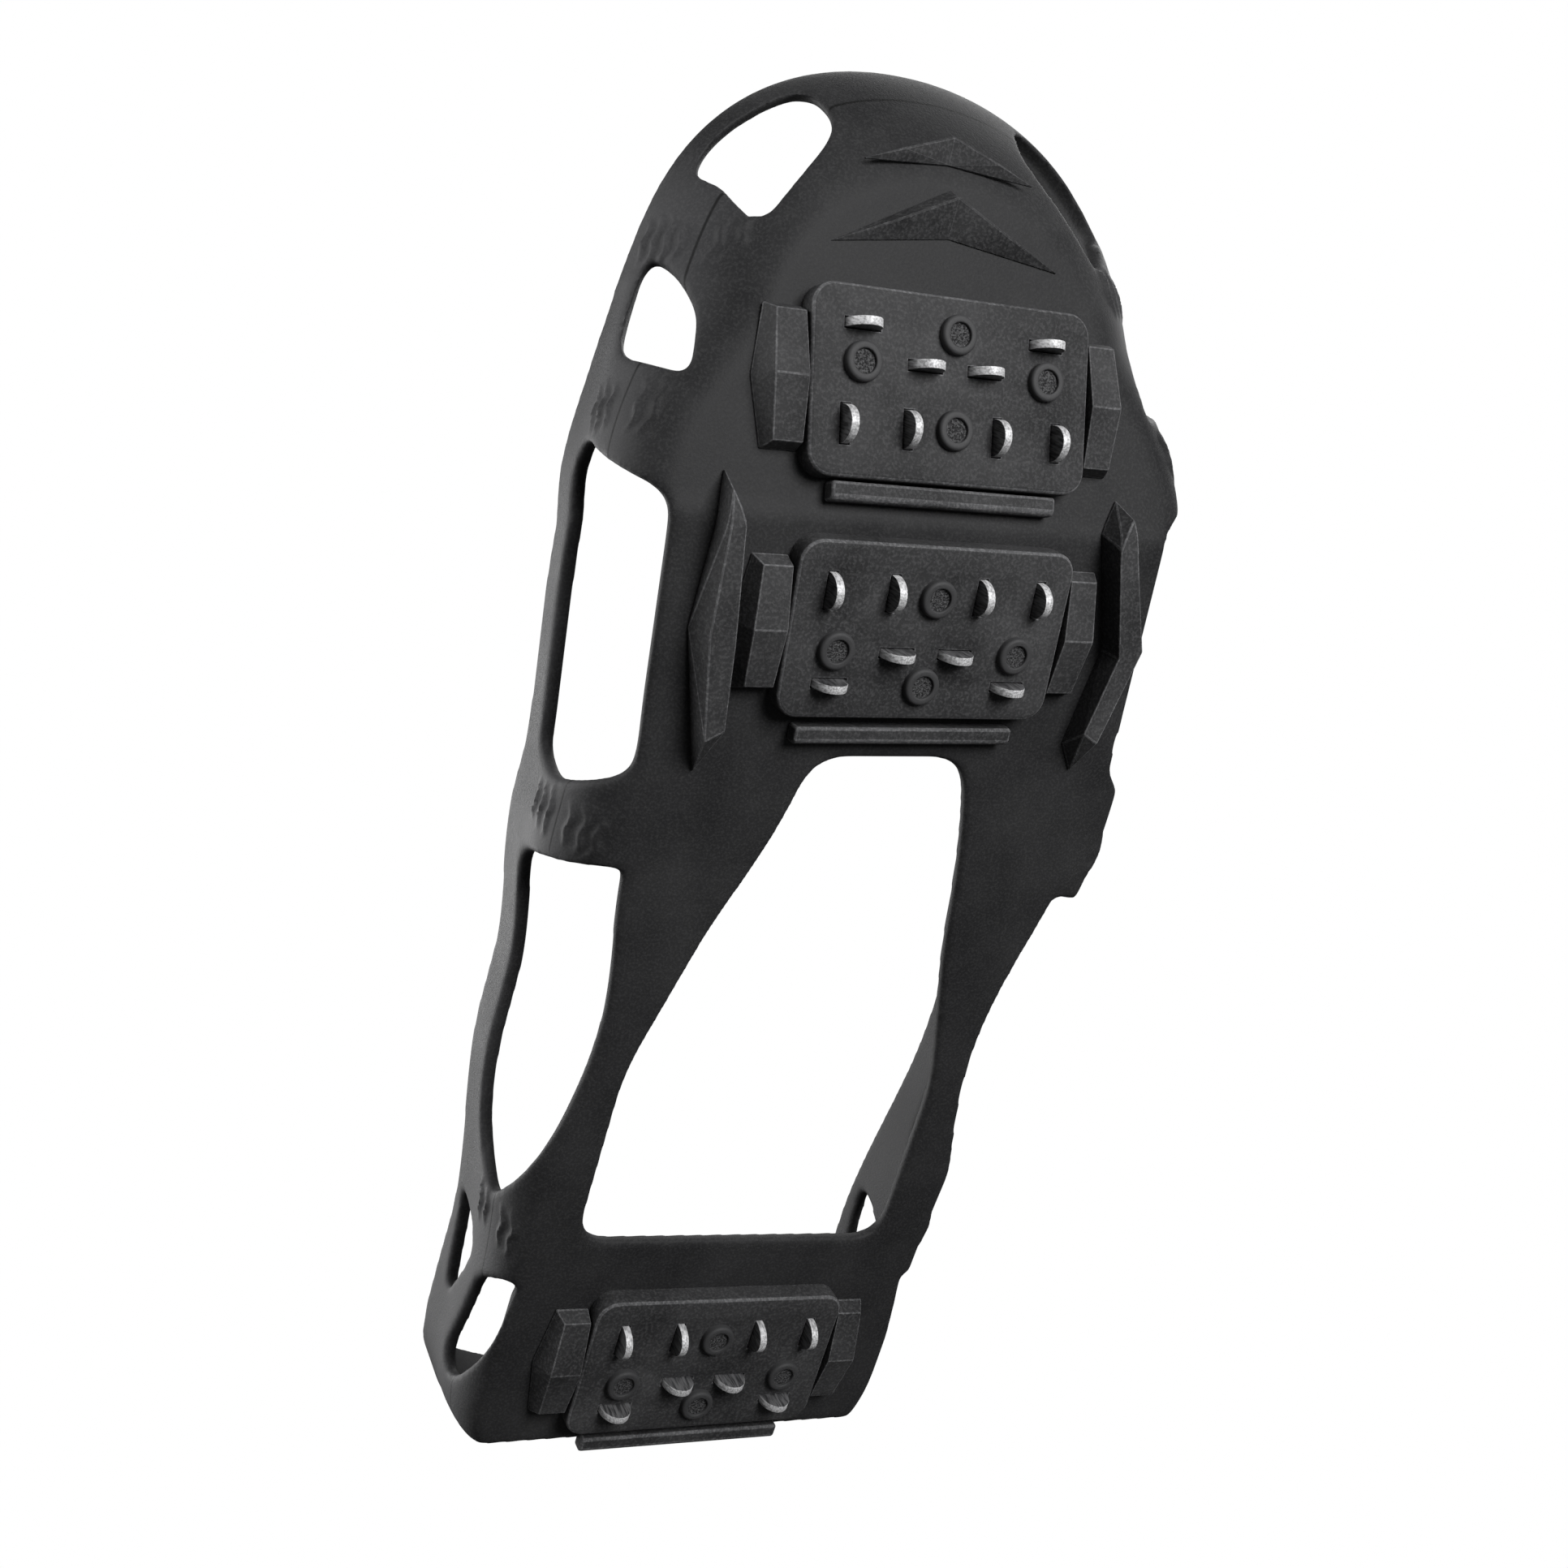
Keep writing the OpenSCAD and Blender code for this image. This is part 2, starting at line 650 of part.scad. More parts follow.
// A low bar across the web beside a pad
module bar(gap) {
    edge = 0.8;
    near = -pad_l / 2 - gap;
    color(tread)
        rotate([90, 0, 90])
            translate([0, 0, -bar_w / 2])
                linear_extrude(bar_w)
                    polygon([[near, web_z], [near, web_z - bar_h], [near - bar_l + edge, web_z - bar_h],
                        [near - bar_l, web_z - bar_h + edge], [near - bar_l, web_z]]);
}

// A long blade beside the mid pad. Its two arms meet at an outer corner and ramp down to the tips
module blade(side, tip_x, corner_x) {
    base = 0.5;
    front = blade_l * 0.475;
    rear = front - blade_l;
    rear_x = 41.5;
    foot = [
        [[tip_x, front], [tip_x - 3, front - 6.5], [corner_x - blade_w, -3], [corner_x, -1.5]],
        [[corner_x, -1.5], [corner_x - blade_w, -3], [rear_x - 3.2, rear + 6], [rear_x, rear]]];
    crest = [
        [[tip_x + 0.5, front - 4], [tip_x - 2.2, front - 8],
         [corner_x - blade_w + 0.3, -3], [corner_x - 2, -1.5]],
        [[corner_x - 2, -1.5], [corner_x - blade_w + 0.3, -3],
         [rear_x - 2.7, rear + 10], [rear_x + 1, rear + 8]]];
    color(tread)
        for (arm = [0, 1])
            hull() {
                translate([0, 0, web_z - base])
                    linear_extrude(base)
                        polygon([for (p = foot[arm]) [side * p.x, p.y]]);
                translate([0, 0, web_z - blade_h])
                    linear_extrude(base)
                        polygon([for (p = crest[arm]) [side * p.x, p.y]]);
            }
}

// A faceted chevron under the toe: each arm rises from its tip to the peak
module chevron(half, tip_y, peak_y, notch_y) {
    base = 0.3;
    ridge_y = peak_y - (peak_y - notch_y) * 0.25;
    color(tread)
        for (side = [-1, 1])
            hull() {
                translate([0, 0, web_z - base])
                    linear_extrude(base)
                        polygon([[side * half, tip_y], [0, peak_y], [0, notch_y]]);
                translate([side * 0.2, ridge_y, web_z - chevron_h])
                    cylinder(h = base, r = 0.2, $fn = 12);
                translate([side * half * 0.55, tip_y + (ridge_y - tip_y) * 0.42, web_z - chevron_h * 0.6])
                    cylinder(h = base, r = 0.2, $fn = 12);
            }
}

module front_pad() at_front_pad() turned() pad();
module mid_pad() at_mid_pad() pad();
module heel_pad() at_heel_pad() pad();
module front_cleat_plate() at_front_pad() turned() cleat_plate();
module mid_cleat_plate() at_mid_pad() cleat_plate();
module heel_cleat_plate() at_heel_pad() cleat_plate();
module front_rivets() at_front_pad() turned() rivet_set();
module mid_rivets() at_mid_pad() rivet_set();
module heel_rivets() at_heel_pad() rivet_set();
module front_side_lugs() at_front_pad() side_lugs();
module mid_side_lugs() at_mid_pad() side_lugs();
module heel_side_lugs() at_heel_pad() side_lugs();
module front_bar() at_front_pad() bar(front_bar_gap);
module mid_bar() at_mid_pad() bar(rear_bar_gap);
module heel_bar() at_heel_pad() bar(rear_bar_gap);
module left_blade() at_mid_pad() blade(1, left_blade_tip, left_blade_x);
module right_blade() at_mid_pad() blade(-1, right_blade_tip, right_blade_x);
// The large chevron's tips, peak and notch, forward of the front pad's centre
chevron_tip_y = 24.5;
chevron_peak_y = 36.3;
chevron_notch_y = 27.7;
module toe_chevron_large()
    at_front_pad()
        chevron(chevron_half, chevron_tip_y, chevron_peak_y, chevron_notch_y);
// The small chevron lies on the rising toe, so its seat is found from the toe's turn
function toe_lift(y) = toe_turn_rise * (1 - round_off((y - toe_reach) / toe_flare, toe_turn_power));
seat_l = 5.4;
seat_gap = 0.3;
seat = [for (y = [0, seat_l]) toe_lift(toe_bend_y + front_pad_y + small_chevron_y + y) - seat_gap];
module toe_chevron_small()
    at_front_pad()
        translate([0, small_chevron_y, web_z + seat[0]])
            rotate([atan((seat[1] - seat[0]) / seat_l), 0, 0])
                translate([0, 0, -web_z])
                    chevron(chevron_small_half, 0, seat_l + 0.6, 1.6);

sling_toe();
sling_mid();
sling_heel();
forefoot_flex_links();
arch_flex_links();
front_pad();
mid_pad();
heel_pad();
front_cleat_plate();
mid_cleat_plate();
heel_cleat_plate();
front_rivets();
mid_rivets();
heel_rivets();
front_side_lugs();
mid_side_lugs();
heel_side_lugs();
front_bar();
mid_bar();
heel_bar();
left_blade();
right_blade();
toe_chevron_large();
toe_chevron_small();
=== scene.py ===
# %% [markdown]
# An over-shoe ice cleat: one stretchy rubber harness with three studded tread plates under it.
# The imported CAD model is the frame, and every piece below is made around it, in metres, with
# +Y toward the toe and +Z up.

# %% Load the frame
import math

import bmesh
import bpy
import numpy as np
from mathutils import Matrix, Vector


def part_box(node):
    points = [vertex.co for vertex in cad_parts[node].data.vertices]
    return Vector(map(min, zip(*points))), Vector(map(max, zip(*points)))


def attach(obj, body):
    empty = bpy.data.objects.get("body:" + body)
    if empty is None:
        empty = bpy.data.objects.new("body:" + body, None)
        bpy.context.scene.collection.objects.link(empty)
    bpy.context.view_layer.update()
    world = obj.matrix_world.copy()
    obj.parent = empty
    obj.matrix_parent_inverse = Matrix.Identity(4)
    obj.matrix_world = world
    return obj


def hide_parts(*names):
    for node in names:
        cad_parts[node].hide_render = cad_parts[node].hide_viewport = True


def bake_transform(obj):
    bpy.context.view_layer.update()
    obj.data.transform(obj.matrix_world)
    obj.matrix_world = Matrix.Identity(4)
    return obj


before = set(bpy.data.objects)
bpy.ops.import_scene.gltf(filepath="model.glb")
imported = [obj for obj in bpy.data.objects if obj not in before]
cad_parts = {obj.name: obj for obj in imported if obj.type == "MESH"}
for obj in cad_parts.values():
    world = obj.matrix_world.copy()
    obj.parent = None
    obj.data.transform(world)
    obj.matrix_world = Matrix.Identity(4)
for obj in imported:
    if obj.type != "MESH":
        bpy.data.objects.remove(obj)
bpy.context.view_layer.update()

MM = 0.001
pad_low, pad_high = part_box("mid_pad")
# Measures below are in millimetres from the middle of the mid pad, at ground level
START = np.array(((pad_low.x + pad_high.x) / 2, (pad_low.y + pad_high.y) / 2, 0.0))


def place(points):
    """Points in millimetres from the mid pad, as points of the frame in metres."""
    return np.asarray(points, float) * MM + START


def measure(points):
    """Points of the frame in metres, as millimetres from the mid pad."""
    return (np.asarray(points, float) - START) / MM


# %% [markdown]
# The photograph is taken from below and a little to the left, close to the tread, with the toe
# at the top. A camera can be aimed with a Track To constraint, but here the place, the viewing
# direction and the upward direction are known, so its matrix is put together from those three.

# %% Camera
CAMERA_AT = (160.4, 79.3, -255.2)
LOOK = Vector((-0.435, -0.349, 0.830)).normalized()
UPWARD = Vector((-0.006, 0.923, 0.385))
FOCAL_PIXELS, IMAGE_PIXELS, SENSOR_W = 2084, 1932, 36

camera = bpy.data.objects.new("camera", bpy.data.cameras.new("camera"))
bpy.context.scene.collection.objects.link(camera)
camera.data.sensor_width = SENSOR_W
camera.data.lens = SENSOR_W * FOCAL_PIXELS / IMAGE_PIXELS
camera.data.clip_start = 0.01
across = LOOK.cross(UPWARD).normalized()
upright = across.cross(LOOK)
turn = Matrix((across, upright, -LOOK)).transposed()
camera.matrix_world = Matrix.Translation(Vector(place(CAMERA_AT))) @ turn.to_4x4()
bpy.context.scene.camera = camera
print("lens", round(camera.data.lens, 2), "mm")

# %% [markdown]
# The floor is one plain pale plane. Its material mixes with a Transparent shader wherever its
# back is seen, so that from below the tread stands against white. It is also left out of the
# light rays, because a bright floor would light the underside that the lamps are meant to shape.

# %% Floor
scene = bpy.context.scene
scene.view_settings.view_transform = "Standard"


def deselect():
    if bpy.context.mode != "OBJECT":
        bpy.ops.object.mode_set(mode="OBJECT")
    bpy.ops.object.select_all(action="DESELECT")


def choose(obj):
    """Makes obj the only selected and the active object."""
    deselect()
    obj.select_set(True)
    bpy.context.view_layer.objects.active = obj


def new_material(name):
    """A material with its node tree and its Principled shader."""
    material = bpy.data.materials.new(name)
    material.use_nodes = True
    return material, material.node_tree, material.node_tree.nodes["Principled BSDF"]


def add_node(tree, kind, **values):
    """A new node with its settings, and its input sockets by name."""
    made = tree.nodes.new(kind)
    for key, value in values.items():
        if hasattr(made, key):
            setattr(made, key, value)
        else:
            made.inputs[key.replace("_", " ")].default_value = value
    return made


def wire(tree, *runs):
    """Links nodes in runs of (node, output, node, input)."""
    for source, output, target, socket in runs:
        tree.links.new(source.outputs[output], target.inputs[socket])


FLOOR_SIZE, FLOOR_DROP, FLOOR_GREY, FLOOR_GLOW = 6, 0.0003, 0.30, 0.55
deselect()
bpy.ops.mesh.primitive_plane_add(size=FLOOR_SIZE, location=(0, 0, -FLOOR_DROP))
floor = bpy.context.object
floor.name = "floor"
pale_floor, tree, shader = new_material("pale_floor")
shader.inputs["Base Color"].default_value = (FLOOR_GREY, FLOOR_GREY, FLOOR_GREY, 1)
shader.inputs["Roughness"].default_value = 0.9
shader.inputs["Specular IOR Level"].default_value = 0
shader.inputs["Emission Color"].default_value = (1, 1, 1, 1)
shader.inputs["Emission Strength"].default_value = FLOOR_GLOW
facing = add_node(tree, "ShaderNodeNewGeometry")
clear = add_node(tree, "ShaderNodeBsdfTransparent")
either = add_node(tree, "ShaderNodeMixShader")
wire(tree, (facing, "Backfacing", either, "Fac"), (shader, "BSDF", either, 1),
     (clear, "BSDF", either, 2), (either, "Shader", tree.nodes["Material Output"], "Surface"))
floor.data.materials.append(pale_floor)
for ray in ("visible_diffuse", "visible_glossy", "visible_transmission", "visible_shadow"):
    setattr(floor, ray, False)
print("floor", FLOOR_SIZE, "m wide")

# %% [markdown]
# The surround is white to the camera and dim to everything else. A Light Path node tells the
# camera's own rays apart, so the backdrop stays bright while the rubber keeps its dark tone.

# %% White surround
AMBIENT = 0.08
world = bpy.data.worlds.new("studio")
scene.world = world
world.use_nodes = True
tree = world.node_tree
seen = add_node(tree, "ShaderNodeLightPath")
either_ray = add_node(tree, "ShaderNodeMath", operation="MAXIMUM")
level = add_node(tree, "ShaderNodeMapRange", To_Min=AMBIENT, To_Max=1.0)
backdrop = tree.nodes["Background"]
backdrop.inputs["Color"].default_value = (1, 1, 1, 1)
wire(tree, (seen, "Is Camera Ray", either_ray, 0), (seen, "Is Transmission Ray", either_ray, 1),
     (either_ray, 0, level, "Value"), (level, 0, backdrop, "Strength"))
print("ambient light", AMBIENT)

# %% [markdown]
# The key lamp stands beyond the toe, on the right of the picture, and rakes over the tread, so
# that every lug and tooth throws a short shadow. A fill lights the walls on the left, and two
# large lamps above are for the views from over the floor. An area lamp shines along its own -Z,
# which to_track_quat turns toward the part.

# %% Lamps
LAMP_AIM = (0, -40, 20)


def soft_lamp(name, at, size, watts):
    lamp = bpy.data.objects.new(name, bpy.data.lights.new(name, "AREA"))
    scene.collection.objects.link(lamp)
    lamp.data.size = size
    lamp.data.energy = watts
    lamp.location = place(at)
    lamp.rotation_mode = "QUATERNION"
    lamp.rotation_quaternion = (Vector(place(LAMP_AIM)) - lamp.location).to_track_quat("-Z", "Y")


soft_lamp("key", (-170, 430, -470), 0.35, 5.2)
soft_lamp("left_fill", (620, 160, 260), 0.45, 3.5)
soft_lamp("top_left", (500, -300, 700), 0.7, 7.0)
soft_lamp("top_right", (-500, 300, 600), 0.7, 4.0)

# %% [markdown]
# Moulded rubber is never one flat grey. Talc and dust leave a fine grain and broad cloudy
# patches, and rubbed edges are paler, with a painted highlight on them as well. The grain is one
# shader node group, so that every rubber here takes it at its own strength, and the same heights
# go to a Bump node.

# %% Shared grain of the rubber
grain_group = bpy.data.node_groups.new("moulded_grain", "ShaderNodeTree")
for name, kind, way, value in (
        ("Fine scale", "NodeSocketFloat", "INPUT", 1400.0),
        ("Cloud scale", "NodeSocketFloat", "INPUT", 45.0),
        ("Dust", "NodeSocketFloat", "INPUT", 0.5),
        ("Tone", "NodeSocketFloat", "OUTPUT", None),
        ("Height", "NodeSocketFloat", "OUTPUT", None)):
    socket = grain_group.interface.new_socket(name, in_out=way, socket_type=kind)
    if value is not None:
        socket.default_value = value

inside = add_node(grain_group, "NodeGroupInput")
outside = add_node(grain_group, "NodeGroupOutput")
where = add_node(grain_group, "ShaderNodeTexCoord")
fine = add_node(grain_group, "ShaderNodeTexNoise", Detail=3.0, Roughness=0.6)
cloud = add_node(grain_group, "ShaderNodeTexNoise", Detail=4.0, Roughness=0.62)
for texture, scale in ((fine, "Fine scale"), (cloud, "Cloud scale")):
    wire(grain_group, (where, "Object", texture, "Vector"), (inside, scale, texture, "Scale"))
speck = add_node(grain_group, "ShaderNodeMapRange", From_Min=0.46, From_Max=0.66)
haze = add_node(grain_group, "ShaderNodeMapRange", From_Min=0.36, From_Max=0.7)
wire(grain_group, (fine, 0, speck, "Value"), (cloud, 0, haze, "Value"))
mixed = add_node(grain_group, "ShaderNodeMath", operation="MULTIPLY_ADD")
mixed.inputs[1].default_value = 1.0
wire(grain_group, (speck, 0, mixed, 0), (haze, 0, mixed, 2))
dusty = add_node(grain_group, "ShaderNodeMath", operation="MULTIPLY")
wire(grain_group, (mixed, 0, dusty, 0), (inside, "Dust", dusty, 1), (dusty, 0, outside, "Tone"),
     (fine, 0, outside, "Height"))
print("grain group", len(grain_group.nodes), "nodes")

# %% [markdown]
# Three rubbers share that grain. The harness is dark and only lightly dusted, the firm tread is
# greyer, and a third, paler one is for edges that the mould and the ground have rubbed; its
# paleness also paints the highlight that rounded edges and creases catch. Dust also makes the
# surface rougher, so one tone drives both the colour and the roughness.

# %% Rubbers
def colour_mix(tree, first, second, **values):
    """A node that mixes two colours by its Factor."""
    made = add_node(tree, "ShaderNodeMix", data_type="RGBA", **values)
    made.inputs[6].default_value = (*first, 1)
    made.inputs[7].default_value = (*second, 1)
    return made


RUBBER_GLOSS = 0.14


def rubber(name, dark, dusty_colour, dust, rough, fine_scale, bump):
    """A matt rubber: dark where clean, dusty_colour where the grain holds dust."""
    material, tree, shader = new_material(name)
    shader.inputs["Specular IOR Level"].default_value = RUBBER_GLOSS
    grain = add_node(tree, "ShaderNodeGroup", node_tree=grain_group)
    grain.inputs["Dust"].default_value = dust
    grain.inputs["Fine scale"].default_value = fine_scale
    colour = colour_mix(tree, dark, dusty_colour)
    roughness = add_node(tree, "ShaderNodeMapRange", To_Min=rough - 0.08, To_Max=rough + 0.14)
    relief = add_node(tree, "ShaderNodeBump", Strength=bump, Distance=0.0002)
    wire(tree, (grain, "Tone", colour, "Factor"), (colour, 2, shader, "Base Color"),
         (grain, "Tone", roughness, "Value"), (roughness, 0, shader, "Roughness"),
         (grain, "Height", relief, "Height"), (relief, "Normal", shader, "Normal"))
    return material


harness_rubber = rubber("stretched_harness_rubber", (0.018, 0.018, 0.019), (0.050, 0.050, 0.051),
                        0.45, 0.6, 1900, 0.35)
tread_rubber = rubber("grained_tread_rubber", (0.023, 0.023, 0.024), (0.090, 0.090, 0.092),
                      0.5, 0.66, 1700, 0.5)
# Paler edge rubber: rubbed wear, and a painted highlight on rounded edges and creases
edge_wear_and_highlight_rubber = rubber("rubbed_and_highlit_edge_rubber", (0.050, 0.050, 0.052), (0.180, 0.180, 0.185),
                     0.6, 0.7, 1700, 0.4)
print("rubbers", harness_rubber.name, tread_rubber.name, edge_wear_and_highlight_rubber.name)

# %% [markdown]
# Two more marks belong to the harness alone. The walls that face outward are painted paler, a
# painted light that stands in for the light falling on them, and a hair-thin parting line runs
# round them where the halves of the mould met. Both follow the surface, so the skin will carry them
# as attributes: "painted_wall_light" from 0 to 1, and "parting" as the distance from the line in
# millimetres, which the shader cuts to a stripe.

# %% Painted wall light and parting line
tree = harness_rubber.node_tree
shader = tree.nodes["Principled BSDF"]
plain = shader.inputs["Base Color"].links[0].from_node
wall_light_mark = add_node(tree, "ShaderNodeAttribute", attribute_name="painted_wall_light")
# Painted light: the outward walls are lifted paler by this attribute, as if lit
paler = colour_mix(tree, (0, 0, 0), (0.026, 0.026, 0.027), blend_type="ADD")
parting_mark = add_node(tree, "ShaderNodeAttribute", attribute_name="parting")
apart = add_node(tree, "ShaderNodeMath", operation="ABSOLUTE")
stripe = add_node(tree, "ShaderNodeMapRange", From_Min=0.10, From_Max=0.30, To_Min=0.8, To_Max=0.0)
lined = colour_mix(tree, (0, 0, 0), (0.005, 0.005, 0.005))
wire(tree, (wall_light_mark, "Fac", paler, "Factor"), (plain, 2, paler, 6),
     (parting_mark, "Fac", apart, 0), (apart, 0, stripe, "Value"), (stripe, 0, lined, "Factor"),
     (paler, 2, lined, 6), (lined, 2, shader, "Base Color"))
print("harness shader", len(tree.nodes), "nodes")

# %% [markdown]
# The plates are stamped steel. Walking on stone polishes the rims of the teeth bright, and the
# rims' pale colour also paints the reflection of the bright surround that they catch, while their
# faces keep a dark, streaked skin. A face attribute, "rim", will say which faces are rim, and the
# material mixes its two looks by it. The streaks are noise that a Mapping node has drawn out along
# the height of the teeth.

# %% Tooth steel
tooth_steel, tree, shader = new_material("worn_and_reflecting_tooth_steel")
shader.inputs["Metallic"].default_value = 0.2
rim_mask = add_node(tree, "ShaderNodeAttribute", attribute_name="rim")
where = add_node(tree, "ShaderNodeTexCoord")
stretch = add_node(tree, "ShaderNodeMapping", Scale=(1, 1, 0.12))
streak = add_node(tree, "ShaderNodeTexNoise", Scale=2600.0, Detail=2.0)
streaky = add_node(tree, "ShaderNodeMapRange", From_Min=0.36, From_Max=0.60)
# Bright rim colour: polished wear, and a painted reflection of the bright surround
bright = colour_mix(tree, (0.34, 0.34, 0.345), (0.74, 0.74, 0.75))
dull = colour_mix(tree, (0.030, 0.030, 0.032), (0.15, 0.15, 0.154))
both = add_node(tree, "ShaderNodeMix", data_type="RGBA")
rough = add_node(tree, "ShaderNodeMapRange", To_Min=0.42, To_Max=0.62)
wire(tree, (where, "Object", stretch, "Vector"), (stretch, "Vector", streak, "Vector"),
     (streak, 0, streaky, "Value"), (streaky, 0, bright, "Factor"), (streaky, 0, dull, "Factor"),
     (rim_mask, "Fac", both, "Factor"), (dull, 2, both, 6), (bright, 2, both, 7),
     (both, 2, shader, "Base Color"), (streak, 0, rough, "Value"),
     (rough, 0, shader, "Roughness"))
print(tooth_steel.name, len(tree.nodes), "nodes")

# %% [markdown]
# The rivets are blackened steel. Their smooth ring is one dark grey, and the floor of the dish is
# pitted and speckled. A second face attribute, "dish", marks that floor, and it lets the noise
# through to both the colour and the bump.

# %% Rivet steel
rivet_steel, tree, shader = new_material("blackened_rivet_steel")
shader.inputs["Specular IOR Level"].default_value = 0.35
RING_TONE, RING_RELIEF = 0.32, 0.15
where = add_node(tree, "ShaderNodeTexCoord")
pits = add_node(tree, "ShaderNodeTexNoise", Scale=2600.0, Detail=3.0, Roughness=0.65)
dish_mask = add_node(tree, "ShaderNodeAttribute", attribute_name="dish")
pitted = add_node(tree, "ShaderNodeMath", operation="MULTIPLY_ADD")
pitted.inputs[2].default_value = RING_RELIEF
speckle = add_node(tree, "ShaderNodeMapRange", From_Min=0.44, From_Max=0.62)
even = add_node(tree, "ShaderNodeMix", data_type="FLOAT")
even.inputs[2].default_value = RING_TONE
colour = colour_mix(tree, (0.010, 0.010, 0.011), (0.120, 0.120, 0.123))
rough = add_node(tree, "ShaderNodeMapRange", To_Min=0.5, To_Max=0.8)
relief = add_node(tree, "ShaderNodeBump", Strength=0.9, Distance=0.0006)
wire(tree, (where, "Object", pits, "Vector"), (pits, 0, pitted, 0), (dish_mask, "Fac", pitted, 1),
     (pits, 0, speckle, "Value"), (dish_mask, "Fac", even, "Factor"), (speckle, 0, even, 3),
     (even, 0, colour, "Factor"), (colour, 2, shader, "Base Color"), (pits, 0, rough, "Value"),
     (rough, 0, shader, "Roughness"), (pitted, 0, relief, "Height"),
     (relief, "Normal", shader, "Normal"))
print(rivet_steel.name, len(tree.nodes), "nodes")

# %% [markdown]
# The harness is one rubber sheet shaped like a shallow boat: a flat web that turns up into walls
# all round. Its plan, its walls and the shape it is worn in are a few smooth functions of the
# length, from the same widths that drive the CAD. The plan is drawn straight and flat first, and
# worn() then springs the toe up and turns the heel in.

# %% Plan and walls of the harness
WEB_Z, WEB_T = 8.5, 3.0
TOE_REACH, TOE_ROUND, HEEL_REACH, HEEL_ROUND = 80, 40, 203, 30
TOE_START, HEEL_START = TOE_REACH - TOE_ROUND, HEEL_ROUND - HEEL_REACH
TOE_HALF, BALL_HALF, ARCH_HALF, HEEL_HALF = 37, 51, 45, 46.5
BALL_FRONT, BALL_REAR, TOE_FRONT, ARCH_Y = 22, -45, 55, -88
SPRING, BEND_Y, HINGE_Z = 17.9, 17.5, 10.0
ARCH_TURN, ARCH_BEND_Y = 7.5, 25.0
WEB_CUT_Y, RAIL_CUT_Y, TOE_CUT_Y = 17.0, -14.0, 21.5
RIM_H, RIM_TOE_DROP, RIM_HEEL_RISE = 33, 9, 13
FLARE, BALL_FLARE, TOE_FLARE, HEEL_FLARE_LESS = 11.5, 8.5, 5, 7
TURN_H, TOE_TURN_H, TURN_POWER, TOE_POWER_LESS = 17, 4, 2, 0.6
WEB_TOP, RIM_TOP = WEB_Z + WEB_T, WEB_Z + RIM_H
ARCH_EASE_START, ARCH_EASE_END = 22.0, 70.0


def ramp(v, a, b):
    """Eases from 0 to 1 while v goes from a to b."""
    t = np.clip((np.asarray(v, float) - a) / (b - a), 0, 1)
    return t * t * (3 - 2 * t)


def round_off(s, n):
    """Falls from 1 to 0 along a quarter of an oval of power n while s goes from 0 to 1."""
    return np.maximum(0, 1 - np.maximum(0, s) ** n) ** (1 / n)


def half_width(y):
    """Half the width of the web."""
    waist = (HEEL_HALF + (ARCH_HALF - HEEL_HALF) * ramp(y, HEEL_START, ARCH_Y)
             + (BALL_HALF - ARCH_HALF) * ramp(y, ARCH_Y, BALL_REAR)
             + (TOE_HALF - BALL_HALF) * ramp(y, BALL_FRONT, TOE_FRONT))
    return (waist * round_off((y - TOE_START) / TOE_ROUND, 2.1)
            * round_off((HEEL_START - y) / HEEL_ROUND, 2.6))


def rim_height(y):
    """Height of the rim over the underside of the web."""
    toe_drop = RIM_TOE_DROP * ramp(y, 10, TOE_REACH)
    return RIM_H - toe_drop + RIM_HEEL_RISE * ramp(-np.asarray(y), 178, HEEL_REACH)


def flare(y):
    """How far the wall stands out from the edge of the web."""
    toward_toe = BALL_FLARE * ramp(y, BALL_FRONT, TOE_FRONT)
    return (FLARE + toward_toe + TOE_FLARE * ramp(y, TOE_FRONT, TOE_REACH)
            - HEEL_FLARE_LESS * ramp(-np.asarray(y), 100, 155))


def turn_height(y):
    """Height in which the web turns up into the upright wall."""
    return TURN_H + TOE_TURN_H * ramp(y, BALL_FRONT, TOE_FRONT)


def turn_power(y):
    """Roundness of that turn: an ellipse at 2, flatter below."""
    return TURN_POWER - TOE_POWER_LESS * ramp(y, BALL_FRONT, TOE_FRONT)


def tilt(p, angle):
    """Springs the forefoot up by angle about the bend line under the ball."""
    y, z = p[:, 1] - BEND_Y, p[:, 2] - HINGE_Z
    s, c, ahead = np.sin(angle), np.cos(angle), np.maximum(0, y)
    return np.stack([p[:, 0], BEND_Y + y - ahead * (1 - c) - z * s,
                     HINGE_Z + ahead * s + z * c], 1)


def swing(p, angle):
    """Turns the heel half about the upright line at the arch."""
    y = p[:, 1] + ARCH_BEND_Y
    s, c = np.sin(angle), np.cos(angle)
    return np.stack([p[:, 0] * c - y * s, p[:, 0] * s + y * c - ARCH_BEND_Y, p[:, 2]], 1)


def worn(p):
    """Flat harness points in their worn shape. The rails start to bend further back than the web."""
    p = np.asarray(p, float)
    begin = WEB_CUT_Y + (RAIL_CUT_Y - WEB_CUT_Y) * ramp(p[:, 2], WEB_TOP, RIM_TOP)
    spring = np.radians(SPRING) * ramp(p[:, 1], begin, TOE_CUT_Y)
    turned = np.radians(ARCH_TURN) * ramp(-p[:, 1], ARCH_EASE_START, ARCH_EASE_END)
    return swing(tilt(p, spring), turned)


print("web at the ball", round(float(2 * half_width(-10.0)), 1), "mm wide")

# %% [markdown]
# The sheet could be pulled up from a plane by hand, row by row. Here a grid is added with enough
# rows and columns, and its points are laid out: each row at its own station along the harness,
# from one rim down the wall, over the web and up the other wall. The rows stand closer where the
# two ends round off, and Merge by Distance closes the points that meet there.

